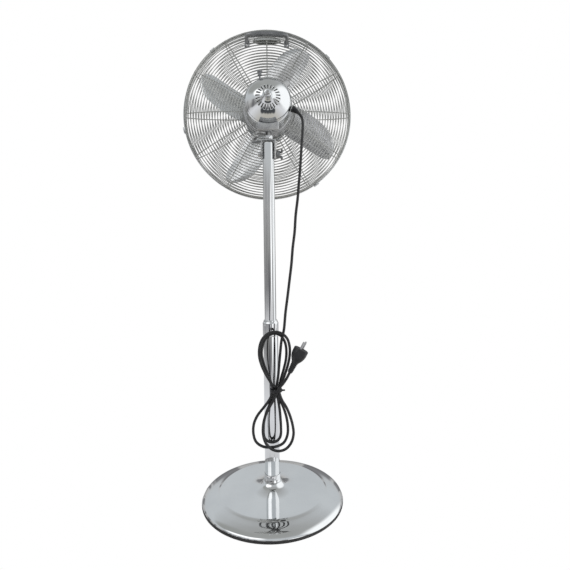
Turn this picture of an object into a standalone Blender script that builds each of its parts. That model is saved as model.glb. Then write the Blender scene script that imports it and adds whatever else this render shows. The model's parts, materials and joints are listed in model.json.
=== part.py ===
"""Pedestal fan: chrome stepped base, telescopic column, tilting and oscillating wire-guarded head.

Metres, +Z up. The origin is on the floor under the middle of the base, and the fan blows towards -Y.
The pieces behind the column's clamp, the motor and the cord are built the way they come apart on a bench.
"""

import math

import bmesh
import bpy
import numpy as np
from mathutils import Vector

# ---------------------------------------------------------------- driving dimensions
GAP = 0.0003  # clearance kept between pieces that touch
STEPS = 32  # facets round a large turned piece
FINE_STEPS = 16  # facets round a small one

BASE_R = 0.170
BASE_TOP_Z = 0.046  # where the column leaves the base shell
SHELL_T = 0.0014
RUBBER_H = 0.0065

OUTER_TUBE_R = 0.0180
INNER_TUBE_R = 0.0140
TUBE_T = 0.0015
OUTER_TUBE_TOP_Z = 0.404
COLLAR_TOP_Z = 0.436
GRIP_GROOVES = 8
INNER_TUBE_BOTTOM_Z = 0.190
POLE_TOP_Z = 0.862

TILT_Z = 0.834  # tilt bolt, through the top of the inner tube
YOKE_TOP_Z = 0.869
POST_TOP_Z = 0.8785
GEARBOX_BOTTOM_Z = 0.884

HEAD_Z = 0.957  # motor and blade axis
MOTOR_R = 0.0575
MOTOR_FRONT_Y = -0.058
MOTOR_WALL = 0.0012
CAP_CURVE = [  # (radius, y) down the motor's rounded rear, from its side to the foot of the boss
    (0.0575, 0.0020), (0.0572, 0.0070), (0.0560, 0.0115), (0.0535, 0.0165), (0.0500, 0.0215),
    (0.0450, 0.0270), (0.0390, 0.0325), (0.0335, 0.0370), (0.0290, 0.0402), (0.0240, 0.0432),
    (0.0185, 0.0462), (0.0150, 0.0482),
]
CAP_SEAM = 3  # the point of that curve where the housing ends and the slotted cover begins
BOSS_CURVE = [(0.0120, 0.0505), (0.0105, 0.0540), (0.0098, 0.0600), (0.0093, 0.0640), (0.0088, 0.0675)]
BOSS_TIP_Y = 0.0700
VENT_SLOTS = 22
VENT_R = 0.0237  # middle of the ring of slots

RIM_Y = -0.100  # the plane where the two guards meet
RIM_R = 0.2195
GUARD_SIDE_R = 0.2145
GUARD_DEPTH = 0.038
GUARD_EYE_R = 0.064  # inner ring of each guard
WIRE_T = 0.0026
SPOKES = 12

BLADE_TIP_R = 0.198
BLADE_ROOT_R = 0.0308
BLADE_Y = -0.102
BLADE_COUNT = 4
BLADE_CREASE_DEG = 57.0
BLADE_PITCH_DEG = 26.0
SHAFT_R = 0.004

CRANK_X, CRANK_Y = 0.018, 0.010  # gear shaft beside the motor shaft
CRANK_THROW = 0.0108
DRIVE_GEAR_Z = 0.9400
STUD_X, STUD_Y = 0.0345, -0.0197

SPEED_KNOB_DEG = 50.0
SPEED_KNOB_Y = -0.022
GLAND_ROOT = Vector((-0.0560, 0.0040, 0.9430))
GLAND_AXIS = Vector((-0.85, 0.20, -0.48)).normalized()
GLAND_LONG = 0.0200
CLIP_ANGLES = (44.0, 130.0, 190.0, 305.0)

CORD_D = 0.0064
HANK_Y = 0.031
HANK_T = 0.020

# ---------------------------------------------------------------- scene
for leftover in list(bpy.data.objects):
    bpy.data.objects.remove(leftover, do_unlink=True)


def new_collection(name):
    made = bpy.data.collections.new(name)
    bpy.context.scene.collection.children.link(made)
    return made


PARTS = new_collection("pedestal_fan")
CUTTERS = new_collection("cutters")
CUTTERS.hide_render = True


def material(name, color, metallic, roughness):
    made = bpy.data.materials.new(name)
    made.use_nodes = True
    shader = made.node_tree.nodes["Principled BSDF"]
    shader.inputs["Base Color"].default_value = (*color, 1.0)
    shader.inputs["Metallic"].default_value = metallic
    shader.inputs["Roughness"].default_value = roughness
    return made


CHROME = material("chrome", (0.78, 0.79, 0.80), 1.0, 0.08)
WIRE = material("guard_wire", (0.70, 0.71, 0.70), 1.0, 0.18)
ALUMINIUM = material("polished_aluminium", (0.72, 0.73, 0.74), 1.0, 0.22)
STEEL = material("plain_steel", (0.45, 0.45, 0.46), 1.0, 0.35)
RUBBER = material("black_rubber", (0.02, 0.02, 0.022), 0.0, 0.65)
BLACK = material("black_plastic", (0.025, 0.025, 0.028), 0.0, 0.40)
GREY = material("dark_grey_metal", (0.16, 0.165, 0.17), 0.2, 0.32)
IRON = material("cast_iron", (0.10, 0.10, 0.10), 0.6, 0.60)
COPPER = material("copper_winding", (0.62, 0.28, 0.13), 0.9, 0.35)
NYLON = material("white_nylon", (0.80, 0.79, 0.75), 0.0, 0.45)

# Local +Z is turned to one of these world directions.
ALONG = {
    "+Z": (0.0, 0.0, 0.0),
    "+Y": (-math.pi / 2, 0.0, 0.0),
    "+X": (0.0, math.pi / 2, 0.0),
    "-X": (0.0, -math.pi / 2, 0.0),
}


# ---------------------------------------------------------------- making shapes
def place(obj, finish, location=(0.0, 0.0, 0.0), rotation=(0.0, 0.0, 0.0), cutter=False):
    (CUTTERS if cutter else PARTS).objects.link(obj)
    obj.location = location
    obj.rotation_euler = rotation
    if cutter:
        obj.hide_render = True
        obj.display_type = "WIRE"
    if finish:
        obj.data.materials.append(finish)
    return obj


def from_bmesh(name, bm, finish, location=(0.0, 0.0, 0.0), rotation=(0.0, 0.0, 0.0), cutter=False):
    mesh = bpy.data.meshes.new(name)
    bm.to_mesh(mesh)
    bm.free()
    return place(bpy.data.objects.new(name, mesh), finish, location, rotation, cutter)


def smooth(obj, angle_deg=35.0):
    obj.data.shade_smooth()
    obj.data.set_sharp_from_angle(angle=math.radians(angle_deg))
    return obj


def turned(name, profile, finish, location=(0.0, 0.0, 0.0), along="+Z", steps=STEPS, closed=False,
           cutter=False):
    """A profile of (radius, height) points, run down its outer side, turned about local Z."""
    bm = bmesh.new()
    ring = [bm.verts.new((radius, 0.0, height)) for radius, height in profile]
    for start, end in zip(ring, ring[1:] + ring[:1] if closed else ring[1:]):
        bm.edges.new((start, end))
    obj = from_bmesh(name, bm, finish, location, ALONG[along], cutter)
    screw = obj.modifiers.new("turn", "SCREW")
    screw.axis = "Z"
    screw.steps = screw.render_steps = steps
    screw.use_merge_vertices = True
    screw.merge_threshold = 0.00001
    screw.use_smooth_shade = True
    return obj


def pipe(name, outer_r, inner_r, low, high, finish, **options):
    """A plain tube from low to high along its own axis."""
    profile = [(outer_r, high), (outer_r, low), (inner_r, low), (inner_r, high)]
    return turned(name, profile, finish, closed=True, **options)


def rod(name, radius, low, high, finish, chamfer=0.0, **options):
    """A solid cylinder, with its two rims chamfered if asked."""
    profile = [(0.0, high), (radius - chamfer, high), (radius, high - chamfer)]
    profile += [(radius, low + chamfer), (radius - chamfer, low), (0.0, low)]
    if not chamfer:
        profile = [(0.0, high), (radius, high), (radius, low), (0.0, low)]
    return turned(name, profile, finish, **options)


def box(name, size, centre, finish, bevel=0.0, segments=2, rotation=(0.0, 0.0, 0.0), cutter=False):
    bm = bmesh.new()
    bmesh.ops.create_cube(bm, size=1.0)
    bmesh.ops.scale(bm, vec=size, verts=bm.verts)
    obj = from_bmesh(name, bm, finish, centre, rotation, cutter)
    if bevel:
        rounding = obj.modifiers.new("edges", "BEVEL")
        rounding.width = bevel
        rounding.segments = segments
    return obj


def boolean(obj, other, operation="DIFFERENCE"):
    cut = obj.modifiers.new(operation.lower(), "BOOLEAN")
    cut.operation = operation
    cut.object = other
    return obj


def arc(centre_r, centre_h, radius, from_deg, to_deg, count):
    """Profile points along an arc, angles measured from +radius towards +height."""
    angles = np.radians(np.linspace(from_deg, to_deg, count))
    return [(centre_r + radius * math.cos(a), centre_h + radius * math.sin(a)) for a in angles]


def smooth_line(points, spacing):
    """Points about this far apart on a Catmull-Rom curve through the route's own points."""
    p = [2 * Vector(points[0]) - Vector(points[1]), *map(Vector, points)]
    p.append(2 * p[-1] - p[-2])
    line = [p[1]]
    for a, b, c, d in zip(p, p[1:], p[2:], p[3:]):
        pieces = max(1, round((c - b).length / spacing))
        for i in range(1, pieces + 1):
            t = i / pieces
            line.append(0.5 * (2 * b + (c - a) * t + (2 * a - 5 * b + 4 * c - d) * t * t
                               + (3 * b - a - 3 * c + d) * t ** 3))
    return line


def cord_tube(name, points, radius, finish, spacing=0.016, resolution=2):
    line = smooth_line(points, spacing)
    curve = bpy.data.curves.new(name, "CURVE")
    curve.dimensions = "3D"
    curve.bevel_depth = radius
    curve.bevel_resolution = resolution
    curve.use_fill_caps = True
    spline = curve.splines.new("POLY")
    spline.points.add(len(line) - 1)
    for target, point in zip(spline.points, line):
        target.co = (*point, 1.0)
    return place(bpy.data.objects.new(name, curve), finish)


def flat_outline(name, points, thickness, finish, location, rotation):
    """A closed 2D outline, thickened equally to both sides of its own plane."""
    curve = bpy.data.curves.new(name, "CURVE")
    curve.dimensions = "2D"
    curve.fill_mode = "BOTH"
    curve.extrude = thickness / 2
    spline = curve.splines.new("POLY")
    spline.points.add(len(points) - 1)
    for target, (x, y) in zip(spline.points, points):
        target.co = (x, y, 0.0, 1.0)
    spline.use_cyclic_u = True
    return place(bpy.data.objects.new(name, curve), finish, location, rotation)


def inset(curve, depth):
    """A (radius, height) curve that runs inwards and up, moved by a sheet's thickness to its inner side."""
    moved = []
    for index, (radius, height) in enumerate(curve):
        ahead = Vector(curve[min(index + 1, len(curve) - 1)]) - Vector(curve[max(index - 1, 0)])
        ahead.normalize()
        moved.append((radius - depth * ahead.y, height + depth * ahead.x))
    return moved


def head_point(radius, image_deg, y):
    """A point on the head, at an angle that grows anticlockwise as seen from behind, from -X."""
    a = math.radians(image_deg)
    return Vector((-radius * math.cos(a), y, HEAD_Z + radius * math.sin(a)))


# ---------------------------------------------------------------- base and column
def make_base():
    edge_r = BASE_R - 0.0012
    ring = [(BASE_R - 0.0015, RUBBER_H), (BASE_R, RUBBER_H - 0.0015), (BASE_R, 0.001), (BASE_R - 0.001, 0.0)]
    ring += [(BASE_R - 0.013, 0.0), (BASE_R - 0.013, RUBBER_H)]
    turned("base_rubber_ring", ring, RUBBER, closed=True)
    weight = [(0.0070, 0.0130), (0.120, 0.0130), (0.150, 0.0085), (0.150, 0.0015), (0.0070, 0.0015)]
    turned("base_weight", weight, IRON, closed=True, steps=36)
    z = RUBBER_H + GAP
    top = [(0.0152, BASE_TOP_Z), (0.0205, BASE_TOP_Z - 0.001), (0.0245, 0.0410), (0.0340, 0.0345)]
    top += [(0.0520, 0.0300), (0.1220, 0.0255), (0.1275, 0.0240), (0.1310, 0.0200), (0.1520, 0.0168)]
    top += [(0.1630, 0.0130)]
    top += [(edge_r - 0.0010, 0.0100), (edge_r, z)]
    under = [(radius - 0.0005, height - SHELL_T) for radius, height in top[2:-2]]
    under = [(top[0][0], BASE_TOP_Z - SHELL_T - 0.001), *under]
    inner = [(edge_r - SHELL_T, 0.0090), (edge_r - SHELL_T, z)]
    turned("base_shell", top + inner[::-1] + under[::-1], CHROME, closed=True)
    flange_z = BASE_TOP_Z + GAP
    flange = [(OUTER_TUBE_R + GAP, flange_z + 0.016), (OUTER_TUBE_R + 0.0018, flange_z + 0.015)]
    flange += [(OUTER_TUBE_R + 0.0022, flange_z + 0.004), (OUTER_TUBE_R + 0.0035, flange_z)]
    flange += [(OUTER_TUBE_R + GAP, flange_z)]
    turned("tube_flange", flange, CHROME, closed=True, steps=24)
    foot = [(0.0, BASE_TOP_Z + 0.022), (OUTER_TUBE_R - TUBE_T - GAP, BASE_TOP_Z + 0.022)]
    foot += [(OUTER_TUBE_R - TUBE_T - GAP, BASE_TOP_Z + GAP), (0.0150, BASE_TOP_Z + GAP)]
    foot += [(0.0150, 0.0133), (0.0060, 0.0133), (0.0060, BASE_TOP_Z - 0.006), (0.0, BASE_TOP_Z - 0.006)]
    turned("tube_foot", foot, IRON, steps=FINE_STEPS)
    rod("base_bolt", 0.0057, 0.0016, BASE_TOP_Z - 0.0065, STEEL, chamfer=0.0006, steps=16)


def make_column():
    low = BASE_TOP_Z + GAP
    pipe("outer_tube", OUTER_TUBE_R, OUTER_TUBE_R - TUBE_T, low, OUTER_TUBE_TOP_Z, CHROME, steps=32)
    bush_r = OUTER_TUBE_R - TUBE_T - GAP
    bush_top = OUTER_TUBE_TOP_Z + 0.008
    pipe("tube_bush", bush_r, INNER_TUBE_R + GAP, OUTER_TUBE_TOP_Z - 0.045, bush_top, NYLON, steps=24)
    collar_r = 0.0190
    bore = OUTER_TUBE_R + GAP
    throat = INNER_TUBE_R + 0.0006
    base_z = OUTER_TUBE_TOP_Z - 0.006
    collar = [(throat, COLLAR_TOP_Z), (0.0166, COLLAR_TOP_Z), (0.0170, COLLAR_TOP_Z - 0.0030)]
    collar += [(0.0181, COLLAR_TOP_Z - 0.0055), (collar_r, COLLAR_TOP_Z - 0.0075)]
    collar += [(collar_r, base_z + 0.001), (collar_r - 0.0006, base_z)]
    collar += [(bore, base_z), (bore, bush_top + GAP), (throat, bush_top + GAP)]
    obj = turned("lock_collar", collar, CHROME, closed=True, steps=24)
    groove_r = collar_r + 0.0006
    for index in range(GRIP_GROOVES):
        angle = 2 * math.pi * index / GRIP_GROOVES
        centre = (groove_r * math.cos(angle), groove_r * math.sin(angle), OUTER_TUBE_TOP_Z + 0.0085)
        groove = rod(f"collar_groove_{index}", 0.0012, -0.012, 0.012, None, steps=8, location=centre,
                     cutter=True)
        boolean(obj, groove)
    tube = pipe("inner_tube", INNER_TUBE_R, INNER_TUBE_R - TUBE_T, INNER_TUBE_BOTTOM_Z, POLE_TOP_Z, CHROME)
    bolt_hole = rod("tube_bolt_hole", 0.0037, -0.03, 0.03, None, steps=16, along="-X",
                    location=(0.0, 0.0, TILT_Z), cutter=True)
    boolean(tube, bolt_hole)
    insert_r = INNER_TUBE_R - TUBE_T - GAP
    insert = rod("pole_insert", insert_r, TILT_Z - 0.014, POLE_TOP_Z + 0.001, IRON, chamfer=0.001,
                 steps=FINE_STEPS)
    boolean(insert, bolt_hole)


# ---------------------------------------------------------------- tilt and oscillation
def make_neck():
    cheek_in = INNER_TUBE_R + 0.0006
    cheek_out = cheek_in + 0.003
    bottom = TILT_Z - 0.011
    height = YOKE_TOP_Z - bottom
    centre_z = (YOKE_TOP_Z + bottom) / 2
    yoke = box("tilt_yoke", (2 * cheek_out, 0.024, height), (0.0, 0.0, centre_z), GREY, bevel=0.0010,
               segments=1)
    slot_h = YOKE_TOP_Z - 0.0035 - bottom + 0.02
    slot_centre = (0.0, 0.0, bottom - 0.02 + slot_h / 2)
    slot = box("yoke_slot", (2 * cheek_in, 0.05, slot_h), slot_centre, None, cutter=True)
    boolean(yoke, slot)
    bolt_hole = rod("yoke_bolt_hole", 0.0037, -0.03, 0.03, None, steps=16, along="-X",
                    location=(0.0, 0.0, TILT_Z), cutter=True)
    boolean(yoke, bolt_hole)
    arm = box("stud_arm", (0.0300, 0.0090, 0.0030), (0.0255, -0.0125, YOKE_TOP_Z - 0.0018), None,
              rotation=(0.0, 0.0, math.radians(-28)), cutter=True)
    boolean(yoke, arm, "UNION")
    rod("neck_post", 0.0115, YOKE_TOP_Z + GAP, POST_TOP_Z, CHROME, chamfer=0.0008, steps=36)
    rod("pivot_pin", 0.0060, POST_TOP_Z + GAP, 0.8962, STEEL, chamfer=0.0006, steps=FINE_STEPS)
    stud = [(0.0, 0.8772), (0.0032, 0.8772), (0.0032, 0.8760), (0.0019, 0.8760)]
    stud += [(0.0019, YOKE_TOP_Z + GAP), (0.0, YOKE_TOP_Z + GAP)]
    turned("link_stud", stud, STEEL, location=(STUD_X, STUD_Y, 0.0), steps=16)
    head = [(0.0, 0.0255), (0.0052, 0.0250), (0.0060, 0.0240), (0.0060, 0.0182), (0.0034, 0.0182)]
    turned("tilt_bolt", head + [(0.0034, -0.0270), (0.0, -0.0270)], STEEL, along="+X",
           location=(0.0, 0.0, TILT_Z), steps=16)
    make_tilt_knob()
    make_link()


def make_tilt_knob():
    """A wing nut: a ribbed hub on the tilt bolt's end with two rounded wings."""
    hub = [(0.0070, 0.0290), (0.0090, 0.0275), (0.0090, 0.0182), (0.0037, 0.0182), (0.0037, 0.0290)]
    knob = turned("tilt_knob", hub, GREY, closed=True, along="-X", location=(0.0, 0.0, TILT_Z),
                  steps=FINE_STEPS)
    wing = box("knob_wings", (0.0085, 0.0330, 0.0042), (-0.0310, 0.0, TILT_Z), None, bevel=0.0018,
               rotation=(math.radians(35), 0.0, 0.0), cutter=True)
    wing_hole = rod("knob_wing_hole", 0.0037, 0.015, 0.030, None, steps=16, along="-X",
                    location=(0.0, 0.0, TILT_Z), cutter=True)
    boolean(wing, wing_hole)
    boolean(knob, wing, "UNION")


def make_link():
    """The flat link from the fixed stud to the crank pin, which the linkage leaves open at the pin."""
    reach = Vector((CRANK_X, CRANK_Y, 0.0))
    pin = reach + reach.normalized() * CRANK_THROW
    stud = Vector((STUD_X, STUD_Y, 0.0))
    run = pin - stud
    eye = 0.0042
    half = 0.0030
    outline = arc(0.0, 0.0, eye, 45, 315, 9) + arc(run.length, 0.0, eye, -135, 135, 9)
    neck = 0.003  # the strip is narrow from this far out of each eye's middle
    outline = [(x, max(-half, min(half, y)) if neck < x < run.length - neck else y) for x, y in outline]
    strip = flat_outline("link_strip", outline, 0.0030, None, (STUD_X, STUD_Y, 0.8741),
                         (0.0, 0.0, math.atan2(run.y, run.x)))
    link = as_mesh(strip, "link_arm", STEEL)
    eyelet = rod("link_eyelet", 0.0021, 0.86, 0.89, None, steps=16, location=(STUD_X, STUD_Y, 0.0),
                 cutter=True)
    boolean(link, eyelet)
    z = GEARBOX_BOTTOM_Z - GAP
    disc = [(0.0, z), (0.0128, z), (0.0128, z - 0.0035), (0.0, z - 0.0035)]
    crank = turned("crank_disc", disc, STEEL, location=(CRANK_X, CRANK_Y, 0.0), steps=FINE_STEPS)
    shaft = rod("crank_shaft", 0.0024, z - 0.001, DRIVE_GEAR_Z - 0.0005, None, steps=12,
                location=(CRANK_X, CRANK_Y, 0.0), cutter=True)
    peg = rod("crank_peg", 0.0019, z - 0.0064, z - 0.001, None, steps=12, location=(pin.x, pin.y, 0.0),
              cutter=True)
    boolean(crank, shaft, "UNION")
    boolean(crank, peg, "UNION")


def as_mesh(obj, name, finish):
    """The object's evaluated mesh as a mesh object of its own, with its caps welded."""
    bpy.context.view_layer.update()
    graph = bpy.context.evaluated_depsgraph_get()
    mesh = bpy.data.meshes.new_from_object(obj.evaluated_get(graph))
    mesh.name = name
    bm = bmesh.new()
    bm.from_mesh(mesh)
    bmesh.ops.remove_doubles(bm, verts=bm.verts, dist=0.00001)
    bmesh.ops.recalc_face_normals(bm, faces=bm.faces)
    bm.to_mesh(mesh)
    bm.free()
    made = place(bpy.data.objects.new(name, mesh), None)
    made.matrix_world = obj.matrix_world
    made.data.materials.clear()
    if finish:
        made.data.materials.append(finish)
    bpy.data.objects.remove(obj, do_unlink=True)
    return made


# ---------------------------------------------------------------- motor
def make_motor():
    axis = (0.0, 0.0, HEAD_Z)
    crank = (CRANK_X, CRANK_Y, 0.0)
    gear_hole = rod("gear_shaft_hole", 0.0029, 0.85, 0.93, None, steps=16, location=crank, cutter=True)
    outer = [(MOTOR_R, MOTOR_FRONT_Y), *CAP_CURVE[:CAP_SEAM + 1]]
    housing = turned("motor_housing", outer + inset(outer, MOTOR_WALL)[::-1], CHROME, location=axis,
                     along="+Y", closed=True)
    boolean(housing, gear_hole)
    knob_hole = rod("clutch_hole", 0.0026, 0.98, 1.03, None, steps=16, location=crank, cutter=True)
    boolean(housing, knob_hole)
    make_rear_cover(axis)
    block = box("gearbox_housing", (0.050, 0.062, 0.022), (0.0, 0.001, GEARBOX_BOTTOM_Z + 0.011), GREY,
                bevel=0.0025, segments=2)
    saddle = rod("gearbox_saddle", MOTOR_R + GAP, -0.08, 0.08, None, location=axis, along="+Y", cutter=True)
    pin_hole = rod("pivot_hole", 0.0063, 0.87, 0.8970, None, steps=FINE_STEPS, cutter=True)
    for cutter in (saddle, pin_hole, gear_hole):
        boolean(block, cutter)
    core_y = (-0.042, -0.010)
    pipe("stator_core", 0.0555, 0.0262, *core_y, IRON, location=axis, along="+Y", steps=24)
    pipe("stator_coil_front", 0.0480, 0.0290, MOTOR_FRONT_Y + 0.0035, core_y[0] - GAP, COPPER, location=axis,
         along="+Y", steps=24)
    rotor = rod("rotor_core", 0.0255, *core_y, STEEL, location=axis, along="+Y", steps=24)
    rotor_bore = rod("rotor_bore", SHAFT_R + GAP, -0.1, 0.1, None, location=axis, along="+Y", steps=16,
                     cutter=True)
    boolean(rotor, rotor_bore)
    make_shaft(axis)
    pipe("motor_front_plate", 0.0615, 0.0072, MOTOR_FRONT_Y - 0.0030, MOTOR_FRONT_Y - GAP, STEEL,
         location=axis, along="+Y", steps=36)
    rod("drive_gear", 0.0125, DRIVE_GEAR_Z, DRIVE_GEAR_Z + 0.0040, NYLON, steps=FINE_STEPS, location=crank)
    make_controls()


def make_rear_cover(axis):
    """The rounded cap: a turned shell with a ring of radial slots, and a boss with a screw in it."""
    seam_r, seam_y = CAP_CURVE[CAP_SEAM]
    dome = [(seam_r - GAP, seam_y + 0.0004), *CAP_CURVE[CAP_SEAM + 1:]]
    tip = [(0.0060, BOSS_TIP_Y), (0.0024, BOSS_TIP_Y), (0.0024, dome[-1][1] - MOTOR_WALL)]
    cover = turned("rear_cover", dome + BOSS_CURVE + tip + inset(dome, MOTOR_WALL)[::-1], CHROME,
                   location=axis, along="+Y", closed=True, steps=VENT_SLOTS)
    for index in range(VENT_SLOTS):
        angle = 2 * math.pi * (index + 0.5) / VENT_SLOTS
        centre = (VENT_R * math.cos(angle), 0.0425, HEAD_Z + VENT_R * math.sin(angle))
        slot = box(f"vent_slot_{index}", (0.0108, 0.030, 0.0024), centre, None, rotation=(0.0, -angle, 0.0),
                   cutter=True)
        boolean(cover, slot)
    y = BOSS_TIP_Y + GAP
    screw = [(0.0, y + 0.0037), (0.0026, y + 0.0033), (0.0042, y + 0.0019), (0.0042, y), (0.0021, y)]
    screw += [(0.0021, BOSS_TIP_Y - 0.0180), (0.0, BOSS_TIP_Y - 0.0180)]
    turned("cover_screw", screw, STEEL, location=axis, along="+Y", steps=16)


def make_shaft(axis):
    shaft = [(0.0, 0.0400), (SHAFT_R, 0.0400), (SHAFT_R, -0.1250), (0.0, -0.1250)]
    turned("motor_shaft", shaft, STEEL, location=axis, along="+Y", steps=16)
    for name, low, high in (("front_bearing", -0.0575, -0.0515), ("rear_bearing", 0.0330, 0.0390)):
        pipe(name, 0.0070, SHAFT_R + GAP, low, high, STEEL, location=axis, along="+Y", steps=16)
    pipe("worm_gear", 0.0052, SHAFT_R + GAP, -0.0010, 0.0200, STEEL, location=axis, along="+Y", steps=16)


def make_controls():
    stem = [(0.0, 1.0300), (0.0052, 1.0300), (0.0064, 1.0288), (0.0064, 1.0262), (0.0040, 1.0240)]
    stem += [(0.0040, 1.0215), (0.0055, 1.0200), (0.0055, 1.0178), (0.0022, 1.0175), (0.0022, 0.9900)]
    stem.append((0.0, 0.9900))
    turned("clutch_knob", stem, GREY, location=(CRANK_X, CRANK_Y, 0.0), steps=FINE_STEPS)
    knob = [(0.0, 0.0200), (0.0070, 0.0200), (0.0086, 0.0188), (0.0095, 0.0030), (0.0095, 0.0010)]
    knob.append((0.0, 0.0010))
    speed = turned("speed_knob", knob, BLACK, steps=FINE_STEPS)
    radial = math.radians(SPEED_KNOB_DEG)
    speed.location = head_point(MOTOR_R, SPEED_KNOB_DEG, SPEED_KNOB_Y)
    speed.rotation_euler = (0.0, radial - math.pi / 2, 0.0)
    gland = [(0.0, GLAND_LONG), (CORD_D / 2 + 0.0006, GLAND_LONG), (CORD_D / 2 + 0.0016, GLAND_LONG - 0.002)]
    gland += [(0.0062, 0.0075), (0.0078, 0.0070), (0.0078, 0.0030), (0.0, 0.0030)]
    turned("cord_gland", gland, BLACK, location=GLAND_ROOT, steps=FINE_STEPS).rotation_euler = (
        GLAND_AXIS.to_track_quat("Z", "Y").to_euler())


# ---------------------------------------------------------------- guards
def guard_curve(t):
    """(radius, depth from the rim plane) at t, from 0 at the rim to 1 at the eye."""
    side = 0.16
    if t < side:
        s = t / side
        return GUARD_SIDE_R + 0.0012 * (1 - s), 0.0018 + 0.0174 * s
    s = (t - side) / (1 - side)
    radius = GUARD_SIDE_R + (GUARD_EYE_R - GUARD_SIDE_R) * s
    depth = 0.0192 + (GUARD_DEPTH - 0.0192) * (1 - (1 - s) ** 3.2)
    return radius, depth


def guard_grid(name, side, ring_ts):
    """A wire basket as one pressed sheet: narrow ring strips joined by twelve spoke strips."""
    per_spoke = 2
    segments = per_spoke * SPOKES
    half = WIRE_T / 2
    bm = bmesh.new()
    rows = []
    for t in ring_ts:
        radius, depth = guard_curve(t)
        ahead, behind = guard_curve(max(t - 0.01, 0.0)), guard_curve(min(t + 0.01, 1.0))
        run = Vector((behind[0] - ahead[0], behind[1] - ahead[1])).normalized() * half
        for sign in (-1, 1):
            rows.append((radius + sign * run.x, depth + sign * run.y))
    rings = []
    for radius, depth in rows:
        ring = []
        for index in range(segments):
            angle = 2 * math.pi * index / segments
            ring.append(bm.verts.new((radius * math.cos(angle), side * depth, radius * math.sin(angle))))
        rings.append(ring)
    add_strips(bm, rings, segments, per_spoke, half)
    obj = from_bmesh(name, bm, WIRE, (0.0, RIM_Y, HEAD_Z))
    thick = obj.modifiers.new("wire", "SOLIDIFY")
    thick.thickness = WIRE_T
    thick.offset = 0.0
    thick.use_even_offset = False
    return obj


def add_strips(bm, rings, segments, per_spoke, half):
    """Fills each ring's own strip, and one narrow strip per spoke between neighbouring rings."""
    for outer, inner in zip(rings[0::2], rings[1::2]):
        for index in range(segments):
            after = (index + 1) % segments
            bm.faces.new((outer[index], outer[after], inner[after], inner[index]))
    for outer, inner in zip(rings[1:-1:2], rings[2::2]):
        for index in range(0, segments, per_spoke):
            after = (index + 1) % segments
            spoke_between(bm, outer[index], outer[after], inner[index], inner[after], half)
    bmesh.ops.recalc_face_normals(bm, faces=bm.faces)


def spoke_between(bm, a, b, c, d, half):
    """Splits the strip's edges a-b and c-d near a and c, and bridges the two short ends."""
    ends = []
    for near, far in ((a, b), (c, d)):
        edge = bm.edges.get((near, far))
        share = min(0.5, 2 * half / (far.co - near.co).length)
        ends.append(bmesh.utils.edge_split(edge, near, share)[1])
    bm.faces.new((a, ends[0], ends[1], c))


def make_guards():
    ts = [0.0, 0.17, 0.43, 0.72, 1.0]
    guard_grid("rear_guard", 1, ts)
    guard_grid("front_guard", -1, ts)
    band_in = GUARD_SIDE_R + 0.0012 + GAP + WIRE_T / 2 + 0.0004
    band = [(RIM_R, 0.0032), (RIM_R, -0.0032), (band_in, -0.0032), (band_in, 0.0032)]
    turned("rim_band", band, CHROME, location=(0.0, RIM_Y, HEAD_Z), along="+Y", closed=True, steps=4 * SPOKES)
    y = RIM_Y - GUARD_DEPTH
    badge = [(0.0, y - 0.0063), (0.030, y - 0.0053), (0.053, y - 0.0028), (0.0590, y - 0.0003)]
    badge += [(0.0590, y + 0.0030), (0.0605, y + 0.0030), (0.0605, y - 0.0010)]
    badge += [(0.054, y - 0.0040), (0.030, y - 0.0065), (0.0, y - 0.0075)]
    turned("front_badge_disc", badge, CHROME, location=(0.0, 0.0, HEAD_Z), along="+Y", steps=36)
    for index, angle in enumerate(CLIP_ANGLES):
        centre = head_point(RIM_R + 0.0018, angle, RIM_Y)
        box(f"rim_clip_{index + 1}", (0.0026, 0.0150, 0.0140), centre, CHROME, bevel=0.0005, segments=1,
            rotation=(0.0, math.radians(angle), 0.0))
    make_handle()


def make_handle():
    """A carrying handle: an arched bar on two legs, whose flat feet are screwed to the rear guard."""
    foot_x, foot_z, foot_front_y, foot_rear_y = 0.0500, 1.1260, -0.0662, -0.0630
    route = [(foot_x, -0.0628, 1.1300), (0.0512, -0.0570, 1.1350), (0.0505, -0.0510, 1.1390)]
    route += [(0.0460, -0.0490, 1.1412), (0.0240, -0.0480, 1.1440), (0.0, -0.0480, 1.1452)]
    route += [(-x, y, z) for x, y, z in route[-2::-1]]
    bar = as_mesh(cord_tube("handle_rod", route, 0.0058, None, spacing=0.012), "carry_handle", GREY)
    for index, side in enumerate((-1, 1)):
        foot = box(f"handle_foot_{index + 1}", (0.0125, foot_rear_y - foot_front_y, 0.0170),
                   (side * foot_x, (foot_rear_y + foot_front_y) / 2, foot_z), None, cutter=True)
        boolean(bar, foot, "UNION")
        y = foot_rear_y + GAP
        screw = [(0.0, y + 0.0030), (0.0030, y + 0.0026), (0.0038, y + 0.0010), (0.0038, y), (0.0, y)]
        turned(f"handle_screw_{index + 1}", screw, STEEL, location=(side * foot_x, 0.0, foot_z - 0.0040),
               along="+Y", steps=12)


# ---------------------------------------------------------------- blades
def blade_width(radius):
    """How wide the blade's main sheet is at this radius, from its crease to its curved edge."""
    s = (radius - BLADE_ROOT_R) / (BLADE_TIP_R - BLADE_ROOT_R)
    swell = 0.030 + 0.028 * math.sin(math.pi * min(1.0, 0.12 + 0.80 * s)) ** 0.8
    tip = math.sqrt(max(0.0, 1.0 - max(0.0, (s - 0.72) / 0.30) ** 2.6))
    return swell * tip


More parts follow.
